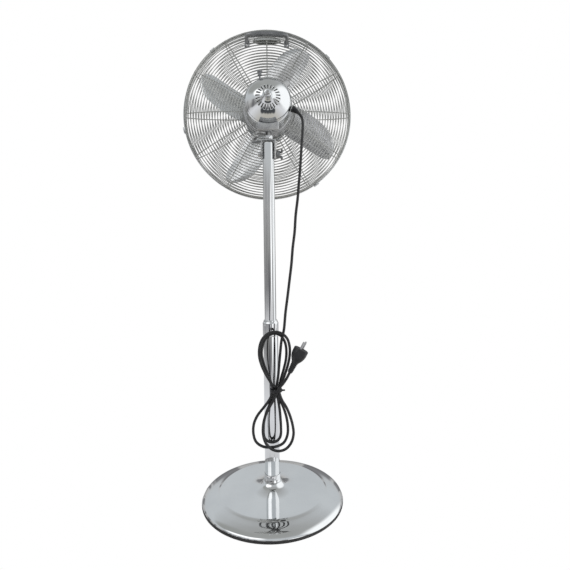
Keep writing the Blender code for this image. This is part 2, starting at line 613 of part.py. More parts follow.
def blade_point(across, s):
    """across runs from -1 at the flange's edge, 0 at the crease, to 1 at the curved edge."""
    radius = BLADE_ROOT_R + (BLADE_TIP_R - BLADE_ROOT_R) * s
    flange = 0.0145 * (0.45 + 0.55 * min(1.0, s * 4)) * (1.0 - 0.55 * max(0.0, s - 0.88) / 0.12)
    offset = across * (flange if across < 0 else blade_width(radius))
    pitch = math.radians(BLADE_PITCH_DEG) * (1.25 - 0.45 * s)
    bend = math.radians(14.0) if across < 0 else 0.0
    arch = 0.0035 * math.sin(math.pi * max(0.0, across))
    axial = (offset - 0.016) * math.tan(pitch) + abs(min(0.0, offset)) * math.tan(bend) + arch
    return offset, axial, radius


def make_blades():
    grid = bmesh.new()
    bmesh.ops.create_grid(grid, x_segments=6, y_segments=7, size=1.0)
    for vert in grid.verts:
        column = (vert.co.x + 1) * 3  # six columns: two across the flange, four across the sheet
        across = (column - 2) / 4 if column >= 2 else (column - 2) / 2
        offset, axial, radius = blade_point(across, (vert.co.y + 1) / 2)
        vert.co = (offset, axial, math.sqrt(max(radius ** 2 - offset ** 2, 1e-6)))
    mesh = bpy.data.meshes.new("blade")
    bmesh.ops.recalc_face_normals(grid, faces=grid.faces)
    grid.to_mesh(mesh)
    grid.free()
    mesh.materials.append(ALUMINIUM)
    for index in range(BLADE_COUNT):
        turn = math.radians(BLADE_CREASE_DEG + index * 360 / BLADE_COUNT)
        blade = place(bpy.data.objects.new(f"blade_{index + 1}", mesh), None, (0.0, BLADE_Y, HEAD_Z),
                      (0.0, turn - math.pi / 2, 0.0))
        thick = blade.modifiers.new("sheet", "SOLIDIFY")
        thick.thickness = 0.0012
        thick.offset = 0.0
    axis = (0.0, 0.0, HEAD_Z)
    hub_y = BLADE_Y - 0.012
    bore = SHAFT_R + GAP
    hub = [(0.0285, hub_y + 0.022), (0.0290, hub_y + 0.020), (0.0290, hub_y + 0.004), (0.0270, hub_y + 0.002)]
    hub += [(bore, hub_y + 0.002), (bore, hub_y + 0.022)]
    turned("blade_hub", hub, ALUMINIUM, location=axis, along="+Y", closed=True, steps=36)
    nut = [(0.0045, -0.1125), (0.0150, -0.1125), (0.0150, -0.1165), (0.0110, -0.1230), (0.0, -0.1290)]
    nut += [(0.0, -0.1254), (0.0045, -0.1254)]
    turned("spinner_nut", nut, CHROME, location=axis, along="+Y", steps=FINE_STEPS, closed=True)


# ---------------------------------------------------------------- cord
CORD_EXIT = GLAND_ROOT + GLAND_AXIS * (GLAND_LONG + GAP)
CORD_UPPER = [
    CORD_EXIT, CORD_EXIT + GLAND_AXIS * 0.007,
    (-0.0865, 0.0120, 0.9210), (-0.0865, 0.0155, 0.9060), (-0.0815, 0.0200, 0.8800),
    (-0.0790, 0.0235, 0.8500), (-0.0760, 0.0260, 0.8160), (-0.0735, 0.0270, 0.7900),
]
CORD_LOWER = [
    (-0.0735, 0.0270, 0.7897), (-0.0700, 0.0280, 0.7560), (-0.0670, 0.0285, 0.7240),
    (-0.0620, 0.0290, 0.6860), (-0.0590, 0.0295, 0.6470), (-0.0540, 0.0300, 0.6090),
    (-0.0505, 0.0305, 0.5710), (-0.0455, 0.0310, 0.5330), (-0.0405, 0.0310, 0.4950),
    (-0.0352, 0.0310, 0.4570), (-0.0310, 0.0310, 0.4170),
]
CORD_TAIL = [
    (-0.0160, 0.0447, 0.2835), (-0.0245, 0.0480, 0.2905), (-0.0340, 0.0500, 0.3040),
    (-0.0420, 0.0500, 0.3200),
]
PLUG_AXIS = Vector((-0.464, 0.0, 0.886)).normalized()
PLUG_ROOT = Vector((-0.0423, 0.0500, 0.3205))
PLUG_LONG = 0.061
PIN_TURN = math.radians(68.0)  # how far the pair of pins is turned about the plug's axis


def make_cord():
    cord_tube("cord_upper", CORD_UPPER, CORD_D / 2, BLACK)
    cord_tube("cord_lower", CORD_LOWER, CORD_D / 2, BLACK)
    cord_tube("cord_tail", CORD_TAIL, CORD_D / 2, BLACK, spacing=0.008)
    upper = arc(-0.0086, 0.3780, 0.0392, -10, 190, 11)
    lower = arc(-0.0035, 0.1790, 0.0510, 170, 370, 11)
    hank = upper + [(-0.0230, 0.2850), (-0.0230, 0.2670)] + lower + [(0.0010, 0.2670), (0.0010, 0.2850)]
    flat_outline("cord_hank", hank, HANK_T, BLACK, (0.0, HANK_Y, 0.0), (math.pi / 2, 0.0, 0.0))
    make_tie()
    make_plug()


def make_tie():
    """A flat strap round the hank's waist, with its knot on the side."""
    centre = (-0.0110, HANK_Y, 0.2760)
    tie = box("cord_tie", (0.0285, HANK_T + 0.0048, 0.0060), centre, BLACK, bevel=0.0015, segments=1)
    window = box("tie_window", (0.0246, HANK_T + 0.0008, 0.02), centre, None, cutter=True)
    boolean(tie, window)


def make_plug():
    turn = PLUG_AXIS.to_track_quat("Z", "Y").to_euler()
    body = [(0.0, PLUG_LONG), (0.0165, PLUG_LONG), (0.0175, PLUG_LONG - 0.0015), (0.0175, 0.0480)]
    body += [(0.0145, 0.0380), (0.0100, 0.0310), (0.0066, 0.0265), (0.0048, 0.0), (0.0, 0.0)]
    plug = turned("plug_body", body, BLACK, steps=FINE_STEPS)
    plug.location = PLUG_ROOT
    plug.rotation_euler = turn
    flat = Vector((-PLUG_AXIS.z, 0.0, PLUG_AXIS.x))
    across = flat * math.cos(PIN_TURN) + PLUG_AXIS.cross(flat) * math.sin(PIN_TURN)
    for index, side in enumerate((-1, 1)):
        pin = rod(f"plug_pin_{index + 1}", 0.0024, PLUG_LONG + GAP, PLUG_LONG + 0.019, STEEL, chamfer=0.0006,
                  steps=12)
        pin.location = PLUG_ROOT + across * side * 0.0095
        pin.rotation_euler = turn


def shade_parts():
    for obj in PARTS.objects:
        if obj.type == "MESH" and not obj.modifiers.get("turn"):
            smooth(obj)


make_base()
make_column()
make_neck()
make_motor()
make_guards()
make_blades()
make_cord()
shade_parts()
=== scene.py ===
"""The looks of the pedestal fan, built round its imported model.

The base, column and motor are chromed, the two guards are plated wire, and the four blades are aluminium. The
mains lead hangs from the motor and is tied in a hank against the column.

Metres, +Z up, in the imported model's own frame. The fan blows towards -Y, and the camera is behind it, at +Y.
"""

import json
import math

import bmesh
import bpy
import numpy as np
from mathutils import Matrix, Quaternion, Vector


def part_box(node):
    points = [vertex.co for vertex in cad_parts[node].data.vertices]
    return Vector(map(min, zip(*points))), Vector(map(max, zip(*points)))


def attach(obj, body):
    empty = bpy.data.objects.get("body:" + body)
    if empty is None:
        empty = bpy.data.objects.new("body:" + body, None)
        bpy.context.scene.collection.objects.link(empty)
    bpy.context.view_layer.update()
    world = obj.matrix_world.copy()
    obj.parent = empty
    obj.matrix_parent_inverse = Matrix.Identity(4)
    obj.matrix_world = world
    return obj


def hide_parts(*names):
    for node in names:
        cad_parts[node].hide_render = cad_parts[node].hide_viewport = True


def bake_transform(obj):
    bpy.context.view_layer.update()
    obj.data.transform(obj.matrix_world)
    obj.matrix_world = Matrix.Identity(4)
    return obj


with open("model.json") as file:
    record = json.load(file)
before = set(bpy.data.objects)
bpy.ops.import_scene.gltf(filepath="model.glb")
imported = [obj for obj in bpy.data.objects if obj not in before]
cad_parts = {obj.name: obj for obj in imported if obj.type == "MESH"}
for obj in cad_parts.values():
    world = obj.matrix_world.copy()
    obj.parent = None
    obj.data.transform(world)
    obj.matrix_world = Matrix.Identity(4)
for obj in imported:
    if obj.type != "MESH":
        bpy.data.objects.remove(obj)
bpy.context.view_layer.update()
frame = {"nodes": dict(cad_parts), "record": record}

UP = (0.0, 0.0, 1.0)
SIDE = (1.0, 0.0, 0.0)
BACK = (0.0, 1.0, 0.0)  # the way a motor part's profile runs, from the blades to the boss

# ---------------------------------------------------------------- sizes read from the frame
BASE_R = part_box("base_rubber_ring")[1].x
RUBBER_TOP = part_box("base_rubber_ring")[1].z
SHELL_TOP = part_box("base_shell")[1].z
OUTER_TUBE_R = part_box("outer_tube")[1].x
OUTER_TUBE_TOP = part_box("outer_tube")[1].z
INNER_TUBE_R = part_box("inner_tube")[1].x
POLE_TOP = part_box("inner_tube")[1].z
COLLAR_LOW, COLLAR_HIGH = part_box("lock_collar")
HEAD_Z = (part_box("motor_front_plate")[0].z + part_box("motor_front_plate")[1].z) / 2
MOTOR_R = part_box("motor_housing")[1].x
MOTOR_FRONT_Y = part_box("motor_housing")[0].y
CAP_CURVE = [  # (radius, y) down the motor's rounded rear, from its side to the foot of the boss
    (0.0575, 0.002), (0.0572, 0.007), (0.056, 0.0115), (0.0535, 0.0165), (0.05, 0.0215),
    (0.045, 0.027), (0.039, 0.0325), (0.0335, 0.037), (0.029, 0.0402), (0.024, 0.0432),
    (0.0185, 0.0462), (0.015, 0.0482), (0.012, 0.0505), (0.0105, 0.054), (0.0098, 0.06),
    (0.0093, 0.064), (0.0088, 0.0675),
]
CAP_SEAM_R = 0.0535
BOSS_TIP_Y = 0.07
RIM_Y = (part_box("rim_band")[0].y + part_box("rim_band")[1].y) / 2
RIM_R = 0.2195
GUARD_SIDE_R = 0.2145
GUARD_EYE_R = 0.064
GUARD_DEPTH = 0.038
GUARD_RINGS = 25
RING_WIRE_R = 0.00115
SPOKES = 12
SPOKE_WIRE_R = 0.0013
TILT_Z = 0.834
BOLT_HOLE_R = 0.0037
HEAD_AXIS = (0.0, 0.0, HEAD_Z)
CRANK_AXIS = Vector((0.018, 0.01, 0.0))  # where the drive's upright shaft and its pull knob stand
SHEET = 0.0012  # the motor's and the blades' sheet metal


# ---------------------------------------------------------------- camera
def make_camera():
    """Behind the fan, at the height of the column's middle, a little right of it."""
    yaw, pitch, roll = 0.0404, 0.0223, 0.012
    data = bpy.data.cameras.new("camera")
    data.lens = 27.3
    data.shift_y = -0.044
    camera = bpy.data.objects.new("camera", data)
    bpy.context.scene.collection.objects.link(camera)
    camera.location = (0.0054, 1.0438, 0.6039)
    ahead = Vector((-math.sin(yaw) * math.cos(pitch), -math.cos(yaw) * math.cos(pitch), -math.sin(pitch)))
    turn = ahead.to_track_quat("-Z", "Y") @ Quaternion((0.0, 0.0, 1.0), -roll)
    camera.rotation_euler = turn.to_euler()
    bpy.context.scene.camera = camera


# ---------------------------------------------------------------- materials
FINISH_END = "_finish"  # a finish is named after its slot in the record, with this at the end


class Finish:
    """A Principled material with short ways to add noise, ramps and bump to it."""

    def __init__(self, name, color, metallic, roughness):
        self.made = bpy.data.materials.new(name + FINISH_END)
        self.made.use_nodes = True
        self.tree = self.made.node_tree
        self.shader = self.tree.nodes["Principled BSDF"]
        self.shader.inputs["Base Color"].default_value = (*color, 1.0)
        self.shader.inputs["Metallic"].default_value = metallic
        self.shader.inputs["Roughness"].default_value = roughness
        self.place = self.tree.nodes.new("ShaderNodeTexCoord").outputs["Object"]

    def link(self, output, socket):
        self.tree.links.new(output, socket)

    def noise(self, scale, detail=2.0, stretch=(1.0, 1.0, 1.0)):
        mapping = self.tree.nodes.new("ShaderNodeMapping")
        mapping.inputs["Scale"].default_value = stretch
        self.link(self.place, mapping.inputs["Vector"])
        texture = self.tree.nodes.new("ShaderNodeTexNoise")
        texture.inputs["Scale"].default_value = scale
        texture.inputs["Detail"].default_value = detail
        self.link(mapping.outputs["Vector"], texture.inputs["Vector"])
        return texture.outputs["Fac"]

    def between(self, value, low, high):
        """The value, which runs about 0.3 to 0.7, mapped to run from low to high."""
        ramp = self.tree.nodes.new("ShaderNodeMapRange")
        ramp.inputs["From Min"].default_value = 0.3
        ramp.inputs["From Max"].default_value = 0.7
        ramp.inputs["To Min"].default_value = low
        ramp.inputs["To Max"].default_value = high
        self.link(value, ramp.inputs["Value"])
        return ramp.outputs["Result"]

    def roughen(self, value, low, high):
        self.link(self.between(value, low, high), self.shader.inputs["Roughness"])

    def tint(self, value, first, second):
        mix = self.tree.nodes.new("ShaderNodeMix")
        mix.data_type = "RGBA"
        mix.inputs["A"].default_value = (*first, 1.0)
        mix.inputs["B"].default_value = (*second, 1.0)
        self.link(self.between(value, 0.0, 1.0), mix.inputs["Factor"])
        self.link(mix.outputs["Result"], self.shader.inputs["Base Color"])

    def bump(self, value, strength, distance):
        node = self.tree.nodes.new("ShaderNodeBump")
        node.inputs["Strength"].default_value = strength
        node.inputs["Distance"].default_value = distance
        self.link(value, node.inputs["Height"])
        self.link(node.outputs["Normal"], self.shader.inputs["Normal"])


def chrome_finish():
    """Bright chrome plate: a clean mirror with faint smears and the slight waves of pressed sheet."""
    made = Finish("chrome", (0.8, 0.81, 0.82), 1.0, 0.05)
    made.roughen(made.noise(38.0, 4.0), 0.025, 0.085)
    made.tint(made.noise(14.0, 3.0), (0.77, 0.78, 0.79), (0.83, 0.84, 0.845))
    made.bump(made.noise(26.0, 1.0), 0.05, 0.001)
    return made.made


def wire_finish():
    """Plated guard wire, duller than the sheet parts, with a faint drawn grain."""
    made = Finish("guard_wire", (0.52, 0.52, 0.5), 1.0, 0.2)
    made.roughen(made.noise(160.0, 3.0), 0.13, 0.3)
    made.tint(made.noise(45.0, 2.0), (0.46, 0.46, 0.44), (0.58, 0.58, 0.56))
    return made.made


def blade_finish():
    """Polished aluminium sheet, brushed along the blade's length."""
    made = Finish("blade_aluminium", (0.82, 0.83, 0.84), 1.0, 0.22)
    grain = made.noise(60.0, 4.0, (14.0, 14.0, 1.0))
    made.roughen(grain, 0.16, 0.34)
    made.tint(made.noise(18.0, 3.0, (3.0, 3.0, 1.0)), (0.78, 0.79, 0.8), (0.87, 0.875, 0.88))
    made.bump(grain, 0.1, 0.0003)
    made.shader.inputs["Anisotropic"].default_value = 0.35
    return made.made


def steel_finish():
    made = Finish("plain_steel", (0.55, 0.55, 0.55), 1.0, 0.3)
    grain = made.noise(220.0, 4.0)
    made.roughen(grain, 0.22, 0.42)
    made.tint(made.noise(70.0, 3.0), (0.46, 0.46, 0.47), (0.62, 0.62, 0.61))
    made.bump(grain, 0.08, 0.0003)
    return made.made


def rubber_finish():
    """Matt black rubber with a fine moulded grain and a little dust."""
    made = Finish("black_rubber", (0.018, 0.018, 0.019), 0.0, 0.6)
    grain = made.noise(520.0, 4.0)
    made.roughen(made.noise(60.0, 3.0), 0.45, 0.7)
    made.tint(made.noise(24.0, 4.0), (0.012, 0.012, 0.013), (0.034, 0.033, 0.032))
    made.bump(grain, 0.25, 0.0004)
    return made.made


def plastic_finish():
    """Moulded black plastic with a spark-eroded grain."""
    made = Finish("black_plastic", (0.016, 0.016, 0.018), 0.0, 0.4)
    grain = made.noise(900.0, 3.0)
    made.roughen(made.noise(80.0, 2.0), 0.34, 0.5)
    made.tint(made.noise(40.0, 3.0), (0.011, 0.011, 0.013), (0.024, 0.024, 0.026))
    made.bump(grain, 0.22, 0.0003)
    return made.made


def sheath_finish():
    """The lead's PVC sheath, half glossy, with faint drawn lines and finger marks."""
    made = Finish("cord_sheath", (0.014, 0.014, 0.015), 0.0, 0.35)
    made.roughen(made.noise(70.0, 3.0), 0.26, 0.46)
    made.tint(made.noise(30.0, 3.0), (0.01, 0.01, 0.011), (0.022, 0.022, 0.023))
    made.bump(made.noise(420.0, 3.0), 0.1, 0.0003)
    return made.made


def grey_finish():
    """Dark grey die-cast metal with a satin coat."""
    made = Finish("dark_grey_metal", (0.24, 0.245, 0.25), 0.8, 0.3)
    grain = made.noise(420.0, 4.0)
    made.roughen(made.noise(70.0, 3.0), 0.2, 0.38)
    made.tint(made.noise(36.0, 3.0), (0.2, 0.205, 0.21), (0.29, 0.295, 0.3))
    made.bump(grain, 0.12, 0.0003)
    return made.made


def iron_finish():
    made = Finish("cast_iron", (0.08, 0.08, 0.08), 0.6, 0.65)
    grain = made.noise(300.0, 6.0)
    made.roughen(grain, 0.55, 0.8)
    made.tint(made.noise(40.0, 5.0), (0.06, 0.06, 0.06), (0.13, 0.12, 0.11))
    made.bump(grain, 0.5, 0.0008)
    return made.made


def copper_finish():
    made = Finish("copper_winding", (0.55, 0.22, 0.09), 0.9, 0.35)
    wires = made.noise(90.0, 2.0, (1.0, 14.0, 1.0))
    made.roughen(wires, 0.25, 0.45)
    made.tint(wires, (0.42, 0.15, 0.06), (0.68, 0.3, 0.14))
    made.bump(wires, 0.5, 0.0006)
    return made.made


def nylon_finish():
    made = Finish("white_nylon", (0.78, 0.77, 0.73), 0.0, 0.45)
    made.roughen(made.noise(120.0, 3.0), 0.38, 0.55)
    made.tint(made.noise(50.0, 3.0), (0.72, 0.71, 0.67), (0.82, 0.81, 0.78))
    made.shader.inputs["Subsurface Weight"].default_value = 0.1
    return made.made


CHROME = chrome_finish()
WIRE = wire_finish()
ALUMINIUM = blade_finish()
STEEL = steel_finish()
RUBBER = rubber_finish()
PLASTIC = plastic_finish()
SHEATH = sheath_finish()
GREY = grey_finish()
IRON = iron_finish()
COPPER = copper_finish()
NYLON = nylon_finish()


# ---------------------------------------------------------------- making shapes
def body_of_node(node):
    return next(body for body, members in frame["record"]["behaviour"]["bodies"].items() if node in members)


def keep(obj, *nodes, body=None):
    """The piece stands for these nodes and rides on their body."""
    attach(obj, body or body_of_node(nodes[0]))
    if nodes:
        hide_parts(*nodes)
    return obj


def piece(name, bm, finish, sharp_deg=40.0):
    bmesh.ops.recalc_face_normals(bm, faces=bm.faces)
    mesh = bpy.data.meshes.new(name)
    bm.to_mesh(mesh)
    bm.free()
    mesh.shade_smooth()
    mesh.set_sharp_from_angle(angle=math.radians(sharp_deg))
    mesh.materials.append(finish)
    obj = bpy.data.objects.new(name, mesh)
    bpy.context.scene.collection.objects.link(obj)
    return obj


def rounded(profile, radius, closed=True, cuts=3):
    """The profile with each corner off the axis turned into a small curve."""
    made = []
    last = len(profile) - 1
    for index, corner in enumerate(profile):
        if corner[0] < 1e-6 or (not closed and index in (0, last)):
            made.append(corner)
            continue
        here = Vector(corner)
        before = Vector(profile[index - 1]) - here
        after = Vector(profile[(index + 1) % len(profile)]) - here
        reach = min(radius, 0.45 * before.length, 0.45 * after.length)
        start = here + before.normalized() * reach
        end = here + after.normalized() * reach
        for cut in range(cuts + 1):
            t = cut / cuts
            made.append(tuple(start * (1 - t) ** 2 + here * 2 * t * (1 - t) + end * t * t))
    return made


def add_turned(bm, profile, origin=(0.0, 0.0, 0.0), axis=UP, steps=96, closed=True, shape=None):
    """Adds a (radius, height) profile turned about the axis. shape(radius, height, angle) sets each radius."""
    turn = Vector(axis).to_track_quat("Z", "Y")
    place = Vector(origin)
    rings = []
    for radius, height in profile:
        if radius < 1e-6:
            rings.append([bm.verts.new(place + turn @ Vector((0.0, 0.0, height)))] * steps)
            continue
        ring = []
        for step in range(steps):
            angle = 2 * math.pi * step / steps
            r = shape(radius, height, angle) if shape else radius
            spot = Vector((r * math.cos(angle), r * math.sin(angle), height))
            ring.append(bm.verts.new(place + turn @ spot))
        rings.append(ring)
    for first, second in zip(rings, rings[1:] + rings[:1] if closed else rings[1:]):
        for step in range(steps):
            after = (step + 1) % steps
            corners = dict.fromkeys((first[step], first[after], second[after], second[step]))
            if len(corners) > 2:
                bm.faces.new(tuple(corners))
    return bm


def turned(name, profile, finish, sharp_deg=40.0, **options):
    return piece(name, add_turned(bmesh.new(), profile, **options), finish, sharp_deg)


def turned_solid(name, profile, finish, corner, **options):
    """A turned piece whose profile starts and ends on the axis, with its corners rounded."""
    return turned(name, rounded(profile, corner, closed=False), finish, closed=False, **options)


def add_tube(bm, line, radius, sides=10, closed=False):
    """Adds a round tube along the line. radius may be a function of the share of the way along."""
    line = [Vector(point) for point in line]
    count = len(line)
    across = None
    rings = []
    for index, point in enumerate(line):
        if closed:
            ahead = line[(index + 1) % count] - line[index - 1]
        else:
            ahead = line[min(index + 1, count - 1)] - line[max(index - 1, 0)]
        ahead.normalize()
        if across is None:
            across = ahead.orthogonal().normalized()
        across = (across - ahead * across.dot(ahead)).normalized()
        other = ahead.cross(across)
        r = radius(index / (count - 1)) if callable(radius) else radius
        ring = []
        for side in range(sides):
            angle = 2 * math.pi * side / sides
            ring.append(bm.verts.new(point + (across * math.cos(angle) + other * math.sin(angle)) * r))
        rings.append(ring)
    for first, second in zip(rings, rings[1:] + rings[:1] if closed else rings[1:]):
        for side in range(sides):
            after = (side + 1) % sides
            bm.faces.new((first[side], first[after], second[after], second[side]))
    if not closed:
        bm.faces.new(rings[0])
        bm.faces.new(rings[-1])
    return bm


def add_ring(bm, radius, y, wire_r, steps=120, sides=8):
    """Adds a wire ring round the head's axis."""
    angles = np.linspace(0.0, 2 * math.pi, steps, endpoint=False)
    line = [(radius * math.cos(a), y, HEAD_Z + radius * math.sin(a)) for a in angles]
    return add_tube(bm, line, wire_r, sides, closed=True)


def add_block(bm, size, centre, bevel=0.001, segments=3, turn=None):
    """Adds a box with rounded edges."""
    made = bmesh.ops.create_cube(bm, size=1.0)["verts"]
    bmesh.ops.scale(bm, vec=size, verts=made)
    edges = list({edge for vert in made for edge in vert.link_edges})
    rounded_off = bmesh.ops.bevel(bm, geom=edges, offset=bevel, segments=segments, profile=0.5,
                                  affect="EDGES")
    verts = list({vert for face in rounded_off["faces"] for vert in face.verts})
    verts = list({vert for vert in verts for edge in vert.link_edges for vert in edge.verts})
    matrix = Matrix.Translation(centre) @ (turn or Matrix()).to_4x4()
    bmesh.ops.transform(bm, matrix=matrix, verts=verts)
    return bm


def smooth_line(points, spacing):
    """Points about this far apart on a Catmull-Rom curve through the route's own points."""
    p = [2 * Vector(points[0]) - Vector(points[1]), *map(Vector, points)]
    p.append(2 * p[-1] - p[-2])
    line = [p[1]]
    for a, b, c, d in zip(p, p[1:], p[2:], p[3:]):
        pieces = max(1, round((c - b).length / spacing))
        for index in range(1, pieces + 1):
            t = index / pieces
            line.append(0.5 * (2 * b + (c - a) * t + (2 * a - 5 * b + 4 * c - d) * t * t
                               + (3 * b - a - 3 * c + d) * t ** 3))
    return line


def arc(centre_r, centre_h, radius, from_deg, to_deg, count):
    """Profile points along an arc, angles measured from +radius towards +height."""
    angles = np.radians(np.linspace(from_deg, to_deg, count))
    return [(centre_r + radius * math.cos(a), centre_h + radius * math.sin(a)) for a in angles]


def inset(curve, depth):
    """A (radius, height) curve that runs inwards and up, moved by a sheet's thickness to its inner side."""
    moved = []
    for index, (radius, height) in enumerate(curve):
        ahead = Vector(curve[min(index + 1, len(curve) - 1)]) - Vector(curve[max(index - 1, 0)])
        ahead.normalize()
        moved.append((radius - depth * ahead.y, height + depth * ahead.x))
    return moved


def cut(obj, cutter):
    """Takes the cutter's shape out of the piece at once, and removes the cutter."""
    modifier = obj.modifiers.new("cut", "BOOLEAN")
    modifier.object = cutter
    bpy.context.view_layer.update()
    graph = bpy.context.evaluated_depsgraph_get()
    mesh = bpy.data.meshes.new_from_object(obj.evaluated_get(graph))
    obj.modifiers.clear()
    obj.data = mesh
    mesh.shade_smooth()
    mesh.set_sharp_from_angle(angle=math.radians(40.0))
    bpy.data.objects.remove(cutter, do_unlink=True)
    return obj


def drill(obj, radius, low, high, origin=(0.0, 0.0, 0.0), axis=UP, steps=32):
    """Takes a round hole out of the piece, from low to high along the axis."""
    outline = [(0.0, low), (radius, low), (radius, high), (0.0, high)]
    finish = obj.data.materials[0]
    return cut(obj, turned("drill", outline, finish, origin=origin, axis=axis, steps=steps, closed=False))


def head_point(radius, angle_deg, y):
    """A point on the head, at an angle that grows anticlockwise as seen from behind, from -X."""
    a = math.radians(angle_deg)
    return Vector((-radius * math.cos(a), y, HEAD_Z + radius * math.sin(a)))


# ---------------------------------------------------------------- the mains lead
CORD_D = 0.0064
GLAND_ROOT = Vector((-0.056, 0.004, 0.943))
GLAND_AXIS = Vector((-0.85, 0.2, -0.48)).normalized()
GLAND_LONG = 0.02
GLAND_DROP = (Vector((0.0, 0.0, -1.0)) + GLAND_AXIS * GLAND_AXIS.z).normalized()
GLAND_SAG = math.radians(14.0)


def along_gland(distance):
    """The strain relief's middle line, bent down by the lead's weight: a point, and the way on from it."""
    angle = GLAND_SAG * distance / GLAND_LONG
    radius = GLAND_LONG / GLAND_SAG
    out, down = radius * math.sin(angle), radius * (1.0 - math.cos(angle))
    point = GLAND_ROOT + GLAND_AXIS * out + GLAND_DROP * down
    return point, GLAND_AXIS * math.cos(angle) + GLAND_DROP * math.sin(angle)


CORD_EXIT, CORD_WAY = along_gland(GLAND_LONG + 0.0003)
CORD_UPPER = [
    CORD_EXIT, CORD_EXIT + CORD_WAY * 0.003, (-0.0804, 0.0098, 0.9199), (-0.0824, 0.0112, 0.9094),
    (-0.0824, 0.0134, 0.896), (-0.081, 0.0172, 0.878), (-0.0785, 0.0217, 0.852), (-0.0758, 0.0255, 0.82),
    (-0.0735, 0.027, 0.79),
]
CORD_DROP = [
    (-0.0735, 0.027, 0.7897), (-0.07, 0.028, 0.756), (-0.067, 0.0285, 0.724), (-0.062, 0.029, 0.686),
    (-0.059, 0.0295, 0.647), (-0.054, 0.03, 0.609), (-0.0505, 0.0305, 0.571), (-0.0455, 0.031, 0.533),
    (-0.0405, 0.031, 0.495), (-0.0352, 0.031, 0.457), (-0.031, 0.031, 0.417), (-0.025, 0.031, 0.3915),
    (-0.022, 0.031, 0.3665), (-0.019, 0.031, 0.3375), (-0.0165, 0.031, 0.3105), (-0.013, 0.031, 0.288),
]
# The hank's half loops as (x, z) points, in the lead's order: three below the tie and two above it.
LOW_NARROW = [
    (-0.0155, 0.249), (-0.019, 0.2245), (-0.0208, 0.1975), (-0.0212, 0.183), (-0.021, 0.1693),
    (-0.0183, 0.1591), (-0.0108, 0.1517), (-0.0006, 0.149), (0.0096, 0.1517), (0.0171, 0.1591),
    (0.0198, 0.1693), (0.02, 0.183), (0.0188, 0.1975), (0.013, 0.22), (0.0035, 0.243),
]
HIGH_INNER = [
    (0.001, 0.29), (0.009, 0.3125), (0.0175, 0.335), (0.022, 0.3555), (0.021, 0.3745), (0.014, 0.393),
    (0.002, 0.4045), (-0.012, 0.407), (-0.0255, 0.4), (-0.034, 0.384), (-0.0365, 0.3645),
    (-0.035, 0.344), (-0.0295, 0.3215), (-0.0225, 0.298),
]
LOW_LEFT = [
    (-0.0195, 0.2515), (-0.0275, 0.2315), (-0.034, 0.211), (-0.0375, 0.1885), (-0.0365, 0.167),
    (-0.028, 0.1495), (-0.013, 0.141), (0.005, 0.1385), (0.023, 0.1415), (0.038, 0.153), (0.044, 0.173),
    (0.0425, 0.1955), (0.0335, 0.2155), (0.018, 0.235), (0.004, 0.254),
]
HIGH_OUTER = [
    (0.002, 0.293), (0.0128, 0.3125), (0.0225, 0.335), (0.0275, 0.3555), (0.027, 0.377), (0.0205, 0.396),
    (0.008, 0.409), (-0.009, 0.4135), (-0.0255, 0.4095), (-0.038, 0.3975), (-0.0435, 0.379),
    (-0.0435, 0.3575), (-0.039, 0.335), (-0.0315, 0.312), (-0.0235, 0.292),
]
LOW_RIGHT = [
    (-0.0235, 0.254), (-0.034, 0.236), (-0.0425, 0.2155), (-0.0485, 0.193), (-0.0505, 0.1715),
    (-0.045, 0.1515), (-0.0325, 0.137), (-0.0155, 0.132), (0.002, 0.1375), (0.0155, 0.153), (0.021, 0.173),
    (0.0205, 0.1955), (0.0145, 0.218), (0.0045, 0.238), (-0.006, 0.256),
]
LAYERS = (0.0246, 0.0311, 0.0376)  # how far behind the column the hank's three layers of lead lie
CORD_TAIL = [
    (-0.0135, 0.0395, 0.2745), (-0.0185, 0.0445, 0.284), (-0.026, 0.048, 0.2935), (-0.0345, 0.05, 0.306),
    (-0.042, 0.05, 0.32),
]
TIE_Z = 0.2745


def hank_route():
    """The lower lead's own points: down the drop, through the tie six times, and out along the tail."""
    back, middle, front = LAYERS
    route = list(CORD_DROP)
    route.append((-0.011, middle, TIE_Z))
    route += [(x, back + 0.003, z) for x, z in LOW_NARROW]
    route.append((-0.0045, back, TIE_Z - 0.004))
    route += [(x, back, z) for x, z in HIGH_INNER]
    route.append((-0.018, back, TIE_Z))
    route += [(x, back + 0.0065 * min(1.0, i / 5), z) for i, (x, z) in enumerate(LOW_LEFT)]
    route.append((-0.003, middle, TIE_Z))
    route += [(x, middle + 0.0065 * min(1.0, i / 4), z) for i, (x, z) in enumerate(HIGH_OUTER)]
    route.append((-0.018, front, TIE_Z))
    route += [(x, front, z) for x, z in LOW_RIGHT]
    return route + CORD_TAIL


def make_cords():
    bm = bmesh.new()
    line = smooth_line(CORD_UPPER, 0.003)
    upper = piece("lead_upper", add_tube(bm, line, CORD_D / 2, 14), SHEATH, 60.0)
    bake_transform(upper)
    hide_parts("cord_upper")
    plug = make_plug()
    tie = make_tie()
    bm = bmesh.new()
    line = smooth_line(hank_route(), 0.004)
    lower = piece("lead_lower", add_tube(bm, line, CORD_D / 2, 14), SHEATH, 60.0)
    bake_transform(lower)
    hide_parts("cord_lower", "cord_hank", "cord_tail")


PLUG_AXIS = Vector((-0.464, 0.0, 0.886)).normalized()
PLUG_ROOT = Vector((-0.0423, 0.05, 0.3205))
PLUG_LONG = 0.061
PIN_TURN = math.radians(68.0)


